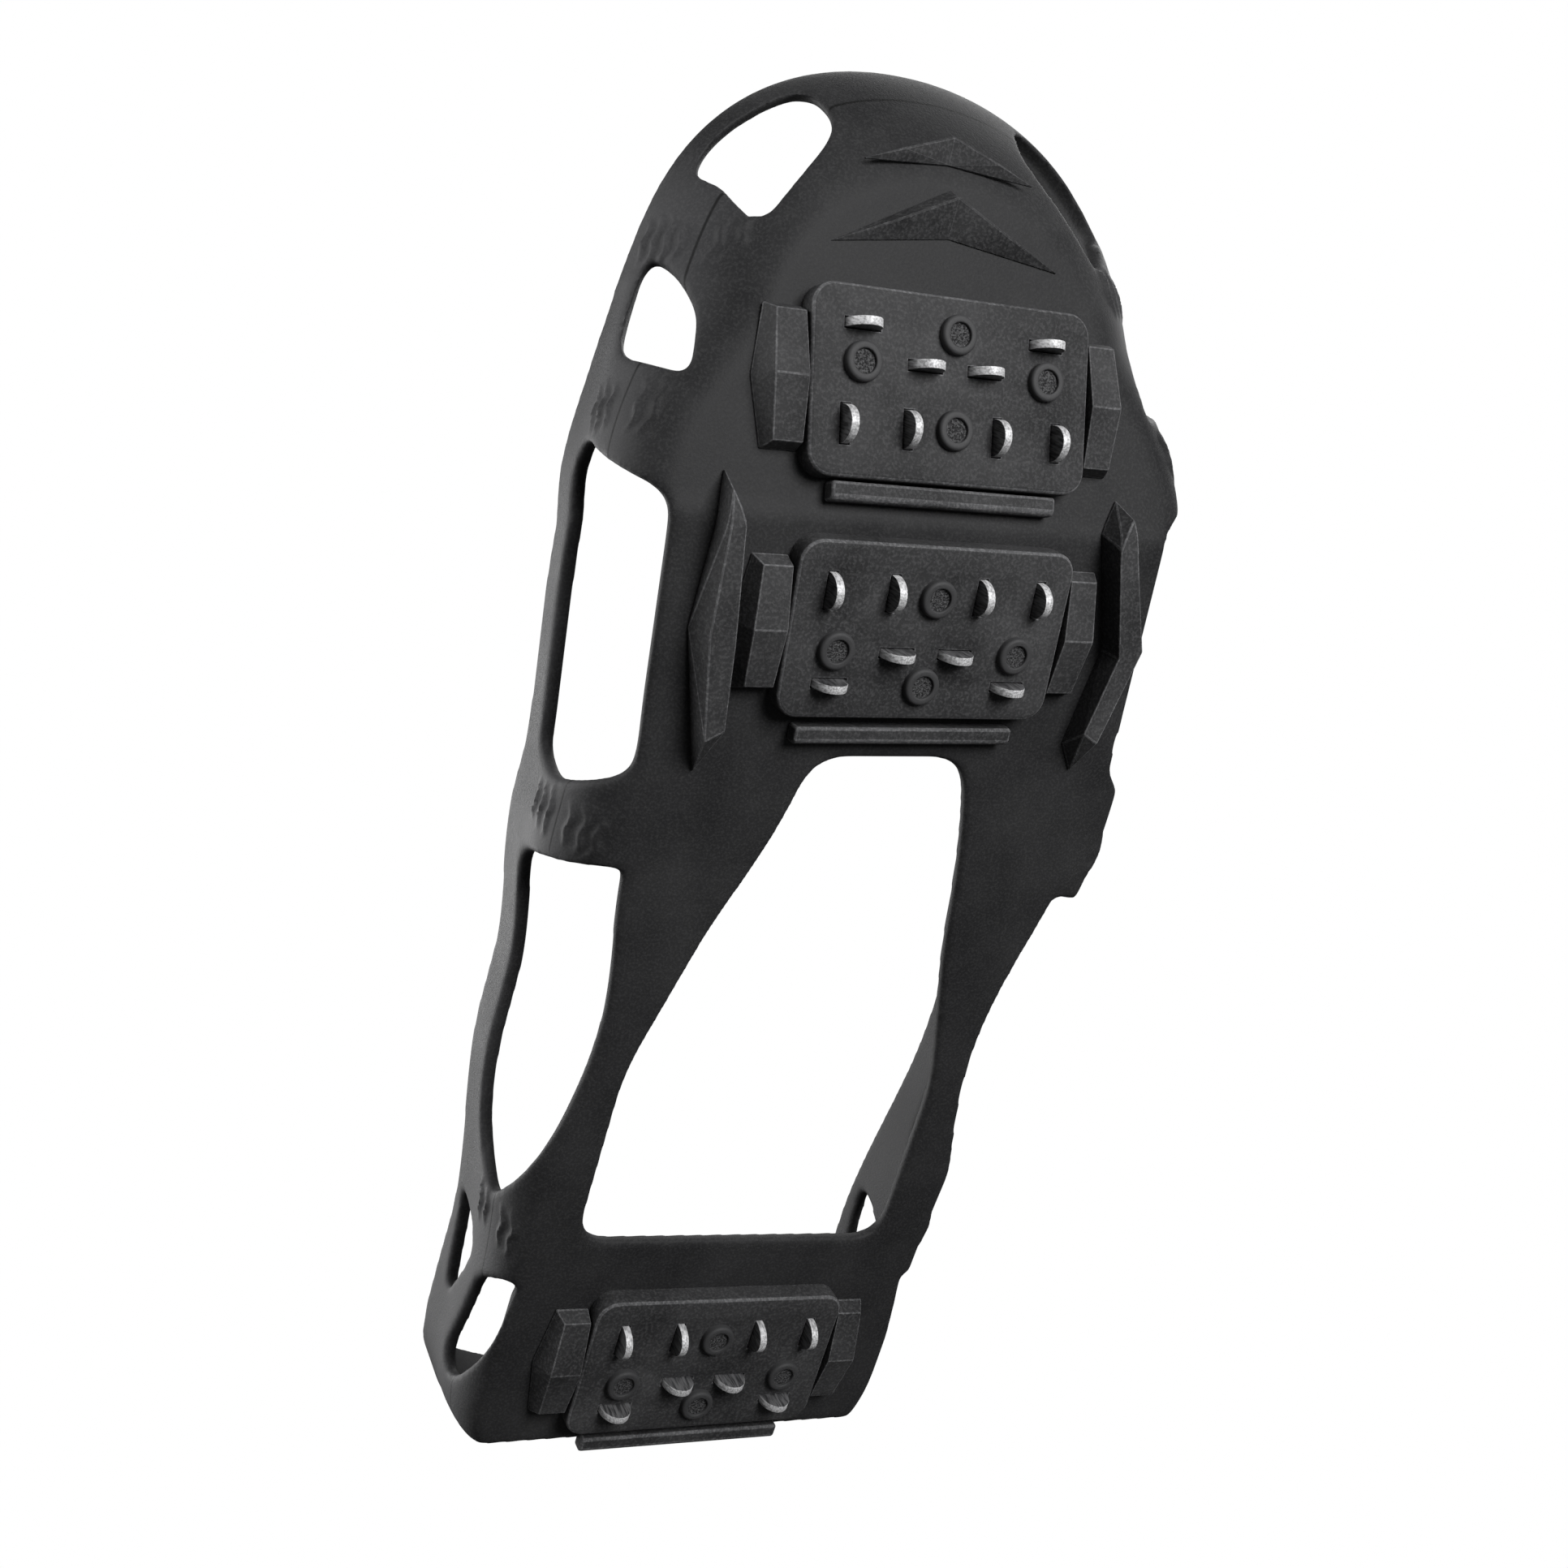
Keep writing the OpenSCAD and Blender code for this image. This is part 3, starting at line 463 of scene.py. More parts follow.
# %% The harness sheet
END_ROWS, SIDE_ROWS = 36, 180
WEB_COLUMNS, TURN_COLUMNS, WALL_COLUMNS = 16, 18, 8
step = np.arange(END_ROWS) / END_ROWS
stations = np.concatenate([
    HEEL_START - HEEL_ROUND * np.sin(np.pi / 2 * (1 - step)),
    np.linspace(HEEL_START, TOE_START, SIDE_ROWS, endpoint=False),
    TOE_START + TOE_ROUND * np.sin(np.pi / 2 * np.append(step, 1.0))])
halves = half_width(stations)
halves[[0, -1]] = 0
along_x, along_y = np.gradient(halves), np.gradient(stations)
long = np.hypot(along_x, along_y)
out_x, out_y = along_y / long, -along_x / long
out_x[[0, -1]], out_y[0], out_y[-1] = 0, -1, 1


def across_row(i):
    """Points of one row on the left half, from the middle of the web to the rim."""
    y = stations[i]
    web = [(halves[i] * k / WEB_COLUMNS, y, WEB_Z) for k in range(WEB_COLUMNS)]
    shares = np.sin(np.pi / 2 * np.arange(TURN_COLUMNS + 1) / TURN_COLUMNS)
    lifts = turn_height(y) * (1 - round_off(shares, turn_power(y)))
    wall = np.linspace(turn_height(y), rim_height(y), WALL_COLUMNS + 1)[1:]
    outs = flare(y) * np.append(shares, np.ones(WALL_COLUMNS))
    rise = np.append(lifts, wall)
    side = [(halves[i] + out_x[i] * o, y + out_y[i] * o, WEB_Z + r) for o, r in zip(outs, rise)]
    return np.array(web + side)


left_rows = [across_row(i) for i in range(len(stations))]
full_rows = [np.concatenate([row[:0:-1] * (-1, 1, 1), row]) for row in left_rows]
columns = len(full_rows[0])
deselect()
bpy.ops.mesh.primitive_grid_add(x_subdivisions=columns - 1, y_subdivisions=len(stations) - 1, size=1)
skin = bpy.context.object
skin.name = "harness_skin"
sheet = place(worn(np.concatenate(full_rows)))
skin.data.vertices.foreach_set("co", sheet.ravel())


def edit_all(obj):
    """Opens obj in edit mode with everything selected."""
    choose(obj)
    bpy.ops.object.mode_set(mode="EDIT")
    bpy.ops.mesh.select_all(action="SELECT")


MERGE = 0.02 * MM
edit_all(skin)
bpy.ops.mesh.remove_doubles(threshold=MERGE)
bpy.ops.object.mode_set(mode="OBJECT")
print("sheet", len(skin.data.polygons), "faces")

# %% [markdown]
# A Solidify modifier gives the sheet its wall. The sheet is the outer side, so the rubber has to
# grow upward from the web, whichever way the grid's normals point.

# %% Thickness
middle = min(skin.data.polygons, key=lambda f: (f.center - Vector(place((0, -40, WEB_Z)))).length)
grow_up = 1.0 if middle.normal.z > 0 else -1.0


def finish_modifiers(obj):
    choose(obj)
    for modifier in list(obj.modifiers):
        bpy.ops.object.modifier_apply(modifier=modifier.name)


thick = skin.modifiers.new("thick", "SOLIDIFY")
thick.thickness = WEB_T * MM
thick.offset = grow_up
thick.use_even_offset = True
finish_modifiers(skin)
print("solid sheet", len(skin.data.polygons), "faces")

# %% [markdown]
# Side windows, the open arch and the open back lighten the moulding and let it stretch. A side
# window's outline is drawn on the wall: millimetres along the harness, and millimetres up the
# wall from the edge of the web. Below the rim the wall leaves a rail of even width.

# %% Drawing on the wall
RAIL_W, ARCH_RAIL_W, WALL_STRETCH = 9.0, 11.0, 3.0
BALL_FOOT, ARCH_FOOT = 1.9, -1.3


def turn_length(y):
    """Length round the turn from web to wall, taken as a quarter of an ellipse."""
    return math.pi / 2 * np.sqrt((flare(y) ** 2 + turn_height(y) ** 2) / 2)


def on_wall(y, up):
    """Points of the flat harness up the wall from the web's edge, or in along the web below 0."""
    turn = turn_length(y)
    share = np.sin(np.pi / 2 * np.clip(up / turn, 0, 1))
    rise = turn_height(y) * (1 - round_off(share, turn_power(y))) + np.maximum(0, up - turn)
    return np.stack([half_width(y) + np.minimum(0, up) + flare(y) * share, y, WEB_Z + rise], 1)


def square_to_wall(y, up):
    """Directions out of the wall, taken over a stretch of it, so that they change gently."""
    along = on_wall(y, up + WALL_STRETCH) - on_wall(y, up - WALL_STRETCH)
    along /= np.linalg.norm(along, axis=1)[:, None]
    return np.stack([along[:, 2], 0 * y, -along[:, 0]], 1)


def rail_foot(y):
    """Where the foot of the top rail lies, up the wall."""
    width = RAIL_W + (ARCH_RAIL_W - RAIL_W) * ramp(-np.asarray(y), 40, 70)
    return float(turn_length(y) + rim_height(y) - turn_height(y) - width)


def under_rail(*sections):
    """Sections (y, lower edge, drop) as (y, lower edge, upper edge), the drop below the rail."""
    return [(y, low, rail_foot(y) - drop) for y, low, drop in sections]


# A window is a list of sections: (y, lower edge, upper edge)
ball_window = [(-38, 20, 22.8)] + under_rail((-36, 15.5, 2), (-33, 9, 0), (-30.5, 3.5, 0), (-27, 1.5, 0))
ball_window += under_rail(*((y, BALL_FOOT, 0) for y in (-16, -8, 0, 8, 16)))
ball_window += under_rail((20, 2.4, 0), (22.5, 5.5, 0), (24.5, 11, 0), (27, 16.5, 0), (29, 20.5, 1),
                          (31, 24, 2))
arch_window = [(-132.5, 15.6, 17), (-128.5, 12.3, 20.8)]
arch_window += under_rail((-124, 9, 1.5), (-118, 5.3, 0.5), (-113, 2.6, 0), (-107, 0.5, 0), (-100, -0.7, 0))
arch_window += under_rail(*((y, ARCH_FOOT, 0) for y in (-93, -85, -77, -69)), (-61, ARCH_FOOT, 1))
arch_window += [(-58, ARCH_FOOT, 19.4), (-56, ARCH_FOOT, 13.7), (-53.6, ARCH_FOOT, 5)]
rear_slot = [(-165, 25.5, 27), (-163, 24.5, 28), (-158, 22, 29), (-153, 20, 30), (-149, 20, 30.5),
             (-146, 23, 31), (-144, 28.5, 31)]
heel_window = [(-178.4, 15.8, 17.3), (-176.4, 13.4, 18.8), (-172.7, 11, 18.8), (-168.4, 8.2, 17.7),
               (-163.4, 5.4, 16.6), (-158.4, 3, 15.8), (-153.4, 1, 15), (-150.4, 0, 11.7),
               (-147.4, -0.6, 6.1)]
print("ball window", round(rail_foot(0) - BALL_FOOT, 1), "mm high")

# %% [markdown]
# A cutter fills the space between an inner and an outer ring of points. Filling each ring with
# one large face would be quicker, but such a face is bent and leaves bumps in the cut, so the
# cutter is a tube of four-cornered sections that runs along the window. Cutting the corners of
# the outline three times makes them run round.

# %% Cutters
CORNER_CUTS = 3


def cut_corners(loop):
    """Rounds a closed loop by cutting each corner at a quarter of its sides, again and again."""
    for _ in range(CORNER_CUTS):
        ahead = np.roll(loop, -1, axis=0)
        pairs = np.stack([0.75 * loop + 0.25 * ahead, 0.25 * loop + 0.75 * ahead], 1)
        loop = pairs.reshape(-1, loop.shape[1])
    return loop


def prism(name, first_ring, second_ring):
    """A closed prism between two rings, as a tube of four-cornered sections along them."""
    half = len(first_ring) // 2
    first, second = np.asarray(first_ring), np.asarray(second_ring)
    sections = [(first[k], first[-1 - k], second[-1 - k], second[k], first[k]) for k in range(half)]
    deselect()
    bpy.ops.mesh.primitive_grid_add(x_subdivisions=4, y_subdivisions=half - 1, size=1)
    made = bpy.context.object
    made.name = name
    made.data.vertices.foreach_set("co", np.array(sections).ravel())
    edit_all(made)
    bpy.ops.mesh.remove_doubles(threshold=MERGE / 10)
    bpy.ops.mesh.fill_holes(sides=4)
    bpy.ops.mesh.select_all(action="SELECT")
    bpy.ops.mesh.normals_make_consistent(inside=False)
    bpy.ops.object.mode_set(mode="OBJECT")
    return made


cutters = []
print("corner cuts", CORNER_CUTS)

# %% [markdown]
# The cutters of the side windows stand square to the wall all the way round, so that no edge of
# the rubber is left thin. Each is made for the left and mirrored for the right.

# %% Side windows
CUT_IN, CUT_OUT = -4.5, 25.0
for window in (ball_window, arch_window, rear_slot, heel_window):
    lower = [(y, low) for y, low, high in window]
    upper = [(y, high) for y, low, high in reversed(window)]
    y, up = cut_corners(np.array(lower + upper, float)).T
    for side in (-1, 1):
        inner, outer = ((on_wall(y, up) + reach * square_to_wall(y, up)) * (side, 1, 1)
                        for reach in (CUT_IN, CUT_OUT))
        cutters.append(prism("window_cutter", place(worn(inner)), place(worn(outer))))
print("side windows", len(cutters))

# %% [markdown]
# The two windows at the toe lie on the rounded corner of the wall, where no single row crosses
# them. Their corners are points of the worn wall, and they are cut along one slanting line.

# %% Toe windows
toe_window = [(44, 71.4, 42.1), (40.2, 77.5, 45.4), (32.8, 83.8, 46.4), (23.3, 89.2, 46.9),
              (20.2, 86.4, 40), (21, 82.4, 35.2), (29.7, 73.3, 30), (36, 65.8, 27.6),
              (38.8, 68.4, 32.2), (40.5, 71.2, 37.2)]
tip_window = [(51.4, 57.4, 38.6), (48.4, 55.6, 32.2), (46.3, 50.6, 25.5), (47.1, 46.8, 22.4),
              (48.8, 40.4, 18.4), (52.9, 40.8, 22.4), (57.2, 40.2, 32), (54.6, 48.1, 36.8)]
SLANT, SLANT_REACH = np.array((0.435, 0.349, -0.83)), 14
for corners in (toe_window, tip_window):
    loop = cut_corners(np.array(corners))
    for side in (-1, 1):
        inner, outer = ((loop + reach * SLANT) * (side, 1, 1) for reach in (-SLANT_REACH, SLANT_REACH))
        cutters.append(prism("window_cutter", place(inner), place(outer)))
print("windows", len(cutters))

# %% [markdown]
# The open arch is a six-cornered hole in the web, narrow in front and wide behind. The back is
# open under the heel strap, which a block behind the end of the web cuts free. Both have arcs at
# their corners, and the long sides of the arch get extra points, so that they can follow the
# turn of the heel.

# %% Open arch and back
ARCH_FRONT, ARCH_REAR, ARCH_WIDEST = 26.5, 137.0, 98.0
ARCH_FRONT_HALF, ARCH_WIDE_HALF = 16.5, 36.0
arch_loop = np.array([(ARCH_FRONT_HALF, -ARCH_FRONT), (ARCH_WIDE_HALF, -ARCH_WIDEST),
                      (ARCH_WIDE_HALF, -ARCH_REAR), (-ARCH_WIDE_HALF, -ARCH_REAR),
                      (-ARCH_WIDE_HALF, -ARCH_WIDEST), (-ARCH_FRONT_HALF, -ARCH_FRONT)])


def rounded(loop, radius, steps=6):
    """A closed plan loop with each corner replaced by an arc that starts radius away."""
    points = []
    for k, corner in enumerate(loop):
        before, after = loop[k - 1] - corner, loop[(k + 1) % len(loop)] - corner
        a = corner + before / np.linalg.norm(before) * radius
        b = corner + after / np.linalg.norm(after) * radius
        for t in np.linspace(0, 1, steps):
            points.append((1 - t) ** 2 * a + 2 * t * (1 - t) * corner + t * t * b)
    return np.array(points)


def finer(loop, spacing):
    """The loop with points added wherever two are further apart than spacing."""
    points = []
    for a, b in zip(loop, np.roll(loop, -1, axis=0)):
        count = max(1, int(np.ceil(np.linalg.norm(b - a) / spacing)))
        points += [a + (b - a) * k / count for k in range(count)]
    return np.array(points)


ARCH_CORNER, ARCH_SPACING, BELOW_WEB, ARCH_CUT_H = 7.0, 4.0, -5.0, 13.0
arch_plan = finer(rounded(arch_loop, ARCH_CORNER), ARCH_SPACING)
flat_low = np.column_stack([arch_plan, np.full(len(arch_plan), WEB_Z + BELOW_WEB)])
flat_high = flat_low + (0, 0, ARCH_CUT_H)
cutters.append(prism("arch_cutter", place(worn(flat_low)), place(worn(flat_high))))

WEB_REAR, STRAP_FOOT, BACK_HALF, BACK_CORNER, BACK_CUT_L = -187.45, 22.0, 93.0, 1.0, 60.0
back_corners = np.array([(-BACK_HALF, BELOW_WEB), (BACK_HALF, BELOW_WEB),
                         (BACK_HALF, STRAP_FOOT), (-BACK_HALF, STRAP_FOOT)])
back_x, back_rise = rounded(back_corners, BACK_CORNER).T
front_ring = np.column_stack([back_x, np.full(len(back_x), WEB_REAR), WEB_Z + back_rise])
rear_ring = front_ring - (0, BACK_CUT_L, 0)
cutters.append(prism("back_cutter", place(worn(front_ring)), place(worn(rear_ring))))
print("all cutters", len(cutters))

# %% [markdown]
# Each cutter is taken out of the harness by a Boolean modifier that is applied at once. The
# Manifold solver is quick and sure here, because the sheet and the cutters are closed.

# %% Take the windows out
def take_away(obj, cutter):
    """Cuts the cutter's form out of obj and deletes the cutter."""
    taking = obj.modifiers.new("cut", "BOOLEAN")
    taking.operation = "DIFFERENCE"
    taking.solver = "MANIFOLD"
    taking.object = cutter
    finish_modifiers(obj)
    bpy.data.objects.remove(cutter)


for cutter in cutters:
    take_away(skin, cutter)
print("harness with windows", len(skin.data.polygons), "faces")

# %% [markdown]
# A moulding has no sharp corners. A voxel Remesh turns the cut sheet into an even skin of small
# squares, and a Smooth modifier then rounds every edge by about a millimetre.

# %% Even, rounded skin
VOXEL, SOFT_PASSES = 0.58, 24
remesh = skin.modifiers.new("even", "REMESH")
remesh.mode = "VOXEL"
remesh.voxel_size = VOXEL * MM
soften = skin.modifiers.new("soften", "SMOOTH")
soften.factor = 0.5
soften.iterations = SOFT_PASSES
finish_modifiers(skin)
print("skin", len(skin.data.polygons), "faces")

# %% [markdown]
# Where the tabs turn up from the web, the mould has short wavy ribs that run lengthwise. They
# could be drawn with a sculpting brush. Here the skin's points move out along their normals, by
# a crest that follows the line of each rib, and only where the skin faces outward.

# %% Ribs on the tabs
RIB_HEIGHT, RIB_HALF_W, RIB_HALF_L = 0.7, 0.55, 5.5
RIB_WAVE, RIB_WAVE_RATE, RIB_BOW = 0.3, 1.2, 0.03
WALLS_BEYOND = 30
# Each tab has its place along the harness, its rigid stretch and the rises of its ribs
tabs = ((67, "toe", (4.5, 6.8, 12, 14.3, 16.6, 18.9)), (36.5, "toe", (3.5, 6, 12.2, 14.8, 17.4)),
        (-46, "mid", (1.6, 3.6, 6.4, 12, 15, 18)), (-137, "heel", (2.6, 5.6, 12, 15)))


def of_points(obj, what):
    """The places or the normals of all points of a mesh."""
    values = np.empty(len(obj.data.vertices) * 3)
    obj.data.vertices.foreach_get(what, values)
    return values.reshape(-1, 3)


def flat_again(p, stretch):
    """Worn points back in the flat harness, for one rigid stretch of it."""
    if stretch == "toe":
        s, c = math.sin(math.radians(-SPRING)), math.cos(math.radians(-SPRING))
        y, z = p[:, 1] - BEND_Y, p[:, 2] - HINGE_Z
        return np.stack([p[:, 0], BEND_Y + y * c - z * s, HINGE_Z + y * s + z * c], 1)
    turned = math.radians(ARCH_TURN) * (0.5 if stretch == "mid" else 1.0)
    return swing(p, np.full(len(p), -turned))


def unit(directions):
    return directions / (np.linalg.norm(directions, axis=1)[:, None] + 1e-9)


co, normals = of_points(skin, "co"), of_points(skin, "normal")
skin_mm = measure(co)
raised = np.zeros(len(co))
for number, (tab_y, stretch, rises) in enumerate(tabs):
    p = flat_again(skin_mm, stretch)
    u, rise = p[:, 1] - tab_y, p[:, 2] - WEB_Z
    away = unit(np.stack([p[:, 0], p[:, 1] - min(tab_y, TOE_START)], 1))
    facing_out = np.clip((normals[:, :2] * away).sum(1) - normals[:, 2] * 0.6, 0, 1)
    near = (np.abs(u) < RIB_HALF_L + 1) & (np.abs(p[:, 0]) > WALLS_BEYOND)
    for k, r in enumerate(rises):
        line = r + RIB_WAVE * np.sin(RIB_WAVE_RATE * u + 0.4 * k + number) + RIB_BOW * u * u
        length = np.clip(1 - (u / (RIB_HALF_L - 0.5 * (k % 3))) ** 2, 0, 1)
        crest = np.exp(-((rise - line) / RIB_HALF_W) ** 2)
        raised += np.where(near, RIB_HEIGHT * crest * length * facing_out, 0)
skin.data.vertices.foreach_set("co", (co + normals * (raised * MM)[:, None]).ravel())
skin.data.update()
print("ribs raise", int((raised > 0.05).sum()), "points")

# %% [markdown]
# Now the skin gets the two attributes that its material reads. The painted wall light grows up
# the walls that face outward and fades toward the rim and the tip of the toe. The parting line lies
# at one height over the web, so its attribute is the height from that line, wherever the skin faces
# outward.

# %% Painted wall light and parting attributes
PARTING_RISE, FAR_FROM_LINE = 9.5, 9.0
sprung_share = ramp(skin_mm[:, 1], BEND_Y - 2, BEND_Y + 6)
sprung_z = flat_again(skin_mm, "toe")[:, 2]
rise = skin_mm[:, 2] + (sprung_z - skin_mm[:, 2]) * sprung_share - WEB_Z
middle_x = np.maximum(0, -ARCH_BEND_Y - skin_mm[:, 1]) * math.tan(math.radians(ARCH_TURN))
past_ends = np.maximum(0, skin_mm[:, 1] - TOE_START) - np.maximum(0, HEEL_START - skin_mm[:, 1])
outward = unit(np.stack([skin_mm[:, 0] - middle_x, past_ends], 1))
facing_out = (normals[:, :2] * outward).sum(1)
# Painted light on the walls that face outward, fading toward the rim and the toe
painted_wall_light = np.clip(facing_out * 1.4 + 0.2, 0, 1) * ramp(rise, 2, 11) * (1 - 0.5 * ramp(rise, 18, 26))
painted_wall_light *= 1 - ramp(skin_mm[:, 1], 62, 84)
parting = np.where(facing_out > 0.05, rise - PARTING_RISE, FAR_FROM_LINE)
for name, values in (("painted_wall_light", painted_wall_light), ("parting", parting)):
    layer = skin.data.attributes.new(name, "FLOAT", "POINT")
    layer.data.foreach_set("value", values.astype(np.float32))
print("bloom on", round(float((painted_wall_light > 0.3).mean()), 2), "of the skin")

# %% [markdown]
# The harness has to bend at the ball and at the arch, so the one skin is parted there with
# Bisect, which also closes each cut. A stretch of the skin is a copy that is bisected by its
# planes. Where a plane would also cut something else, it is given only some of the faces.

# %% Tools for parting the skin
SPRING_R, TURN_R = math.radians(SPRING), math.radians(ARCH_TURN)
FORWARD, BACKWARD = (0, 1, 0), (0, -1, 0)


def heel_point(y, z=HINGE_Z):
    """A point behind the mid pad on the middle line of the turned heel half."""
    return tuple(swing(np.array([[0.0, -y, z]]), np.array([TURN_R]))[0])


def behind(normal):
    return tuple(-v for v in normal)


def select_faces(obj, chosen):
    """Selects the faces that chosen picks by their middle, in millimetres, and their normal."""
    bpy.ops.mesh.select_mode(type="FACE")
    bpy.ops.mesh.select_all(action="DESELECT")
    bm = bmesh.from_edit_mesh(obj.data)
    for f in bm.faces:
        f.select_set(bool(chosen(measure(f.calc_center_median()), f.normal)))
    bmesh.update_edit_mesh(obj.data)


def bisect(obj, at, normal, chosen=None):
    """Keeps what lies on the normal's side of a plane, among the chosen faces, and caps the cut."""
    edit_all(obj)
    if chosen:
        select_faces(obj, chosen)
    bpy.ops.mesh.bisect(plane_co=Vector(place(at)), plane_no=Vector(normal), use_fill=True,
                        clear_inner=True, threshold=1e-7)
    bpy.ops.object.mode_set(mode="OBJECT")


def drop(obj, chosen):
    """Deletes the loose stretches whose faces are chosen."""
    edit_all(obj)
    select_faces(obj, chosen)
    bpy.ops.mesh.delete(type="FACE")
    bpy.ops.object.mode_set(mode="OBJECT")


def shade(obj, degrees):
    """Shades obj smooth, but keeps edges sharper than so many degrees."""
    choose(obj)
    bpy.ops.object.shade_smooth_by_angle(angle=math.radians(degrees))


def stretch_of_skin(name, planes):
    made = skin.copy()
    made.data = skin.data.copy()
    made.name = name
    scene.collection.objects.link(made)
    for at, normal in planes:
        bisect(made, at, normal)
    return made


def dress_skin(obj):
    obj.data.materials.clear()
    obj.data.materials.append(harness_rubber)
    shade(obj, 45)
    print(obj.name, len(obj.data.polygons), "faces")


print("toe springs", SPRING, "degrees, heel turns", ARCH_TURN)

# %% [markdown]
# Three stretches stay rigid and ride on their bodies: the toe cap, the middle and the heel cup.
# The web and the rails part at different places, because the rails are longer and need more
# length to bend, so the rails of the middle and of the heel are cut back by a plane of their own.

# %% Rigid stretches
TOE_CUT, ARCH_CUT, STRAP_END, RAIL_END = 4.0, 65.0, 106.0, 122.0
RAIL_LEVEL, ARCH_RAIL_LEVEL = 24.5, 21.5
toe_cut_no = (0, math.cos(SPRING_R), math.sin(SPRING_R))
toe_cut_at = (0, BEND_Y + TOE_CUT * toe_cut_no[1], HINGE_Z + TOE_CUT * toe_cut_no[2])
heel_no = (math.sin(TURN_R), -math.cos(TURN_R), 0)
skin_toe = stretch_of_skin("harness_toe", [(toe_cut_at, toe_cut_no)])
skin_mid = stretch_of_skin("harness_middle", [
    (heel_point(ARCH_CUT), behind(heel_no)), ((0, WEB_CUT_Y, 0), BACKWARD),
    (toe_cut_at, behind(toe_cut_no))])
bisect(skin_mid, (0, RAIL_CUT_Y, 0), BACKWARD, lambda p, n: p[2] > RAIL_LEVEL and p[1] > RAIL_CUT_Y - 6)
skin_heel = stretch_of_skin("harness_heel", [(heel_point(STRAP_END), heel_no)])
bisect(skin_heel, heel_point(RAIL_END), heel_no,
       lambda p, n: p[2] > ARCH_RAIL_LEVEL and p[1] > heel_point(RAIL_END)[1] - 14)
for obj, body, node in ((skin_toe, "forefoot", "sling_toe"), (skin_mid, "midfoot", "sling_mid"),
                        (skin_heel, "heel", "sling_heel")):
    dress_skin(obj)
    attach(obj, body)
    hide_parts(node)

# %% [markdown]
# The stretches between them are cut out as pieces of their own. There is one across the web at
# the ball, and on each side one rail at the ball, one arch strap and one rail over the arch.

# %% Stretches between the bodies
web_link = stretch_of_skin("ball_web_link", [((0, WEB_CUT_Y, 0), FORWARD),
                                             (toe_cut_at, behind(toe_cut_no))])
dress_skin(web_link)
tuple(place((0, WEB_CUT_Y, HINGE_Z)))
tuple(place(toe_cut_at))
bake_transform(web_link)
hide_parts("forefoot_flex_links")

ARCH_MIDDLE_X, ARCH_RAIL_Z = 10, 35
rail_start, rail_end = (0, RAIL_CUT_Y, 36.0), (0, 11.95, 40.2)
strap_planes = [(heel_point(ARCH_CUT), heel_no), (heel_point(STRAP_END), behind(heel_no))]
arch_rail_planes = [(heel_point(ARCH_CUT), heel_no), (heel_point(RAIL_END), behind(heel_no))]
ball_rail_planes = [((0, RAIL_CUT_Y, 0), FORWARD), (toe_cut_at, behind(toe_cut_no))]


def other_side(p, middle_x, side):
    return (p[0] - middle_x) * side < 0


for side, word in ((1, "left"), (-1, "right")):
    rail = stretch_of_skin(word + "_ball_rail", ball_rail_planes)
    drop(rail, lambda p, n: p[2] < RAIL_LEVEL or other_side(p, 0, side))
    dress_skin(rail)
    tuple(place(rail_start))
    tuple(place(rail_end))
    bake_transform(rail)
    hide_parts("forefoot_flex_links")

    strap = stretch_of_skin(word + "_arch_strap", strap_planes)
    drop(strap, lambda p, n: p[2] > ARCH_RAIL_LEVEL or other_side(p, ARCH_MIDDLE_X, side))
    dress_skin(strap)
    tuple(place(heel_point(ARCH_CUT)))
    tuple(place(heel_point(STRAP_END)))
    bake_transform(strap)
    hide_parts("arch_flex_links")

    rail = stretch_of_skin(word + "_arch_rail", arch_rail_planes)
    drop(rail, lambda p, n: p[2] < ARCH_RAIL_LEVEL or other_side(p, ARCH_MIDDLE_X, side))
    dress_skin(rail)
    tuple(place(heel_point(ARCH_CUT, ARCH_RAIL_Z)))
    tuple(place(heel_point(RAIL_END, ARCH_RAIL_Z)))
    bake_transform(rail)
    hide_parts("arch_flex_links")
bpy.data.objects.remove(skin)

# %% [markdown]
# Three tread pads carry the studs. They are alike, so each piece is made once at the mid pad,
# straight in the frame, and copied to the front and the heel. The front one is turned end for
# end and tilted with the toe.

# %% Places of the three pads
def about(point, turning):
    here = Matrix.Translation(Vector(place(point)))
    return here @ turning.to_4x4() @ here.inverted()


FRONT_PAD_Y, HEEL_PAD_Y = BEND_Y + 25.1, -ARCH_BEND_Y - 140.7
to_front = (about((0, BEND_Y, HINGE_Z), Matrix.Rotation(SPRING_R, 3, "X"))
            @ Matrix.Translation((0, FRONT_PAD_Y * MM, 0)))
to_heel = (about((0, -ARCH_BEND_Y, 0), Matrix.Rotation(TURN_R, 3, "Z"))
           @ Matrix.Translation((0, HEEL_PAD_Y * MM, 0)))
end_for_end = about((0, 0, 0), Matrix.Rotation(math.pi, 3, "Z"))
PAD_PLACES = (("front", "forefoot", to_front @ end_for_end), ("mid", "midfoot", Matrix.Identity(4)),
              ("heel", "heel", to_heel))


def copy_to_pads(model, suffix, node_suffix):
    """One copy of a model made at the mid pad for each of the three pads."""
    for word, body, matrix in PAD_PLACES:
        made = model.copy()
        made.data = model.data.copy()
        made.name = word + "_" + suffix
        scene.collection.objects.link(made)
        made.data.transform(matrix)
        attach(made, body)
        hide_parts(word + "_" + node_suffix)
    bpy.data.objects.remove(model)


print("front pad at", [round(v, 4) for v in (to_front @ Vector(START))])

# %% [markdown]
# A pad is a rounded block of firm rubber. A cube is scaled to size, its four upright edges are
# bevelled into corners, and the rim of its lower face is rounded. Slots for the studs are taken
# out with a Boolean, and a little wider than the studs, as cut rubber is.

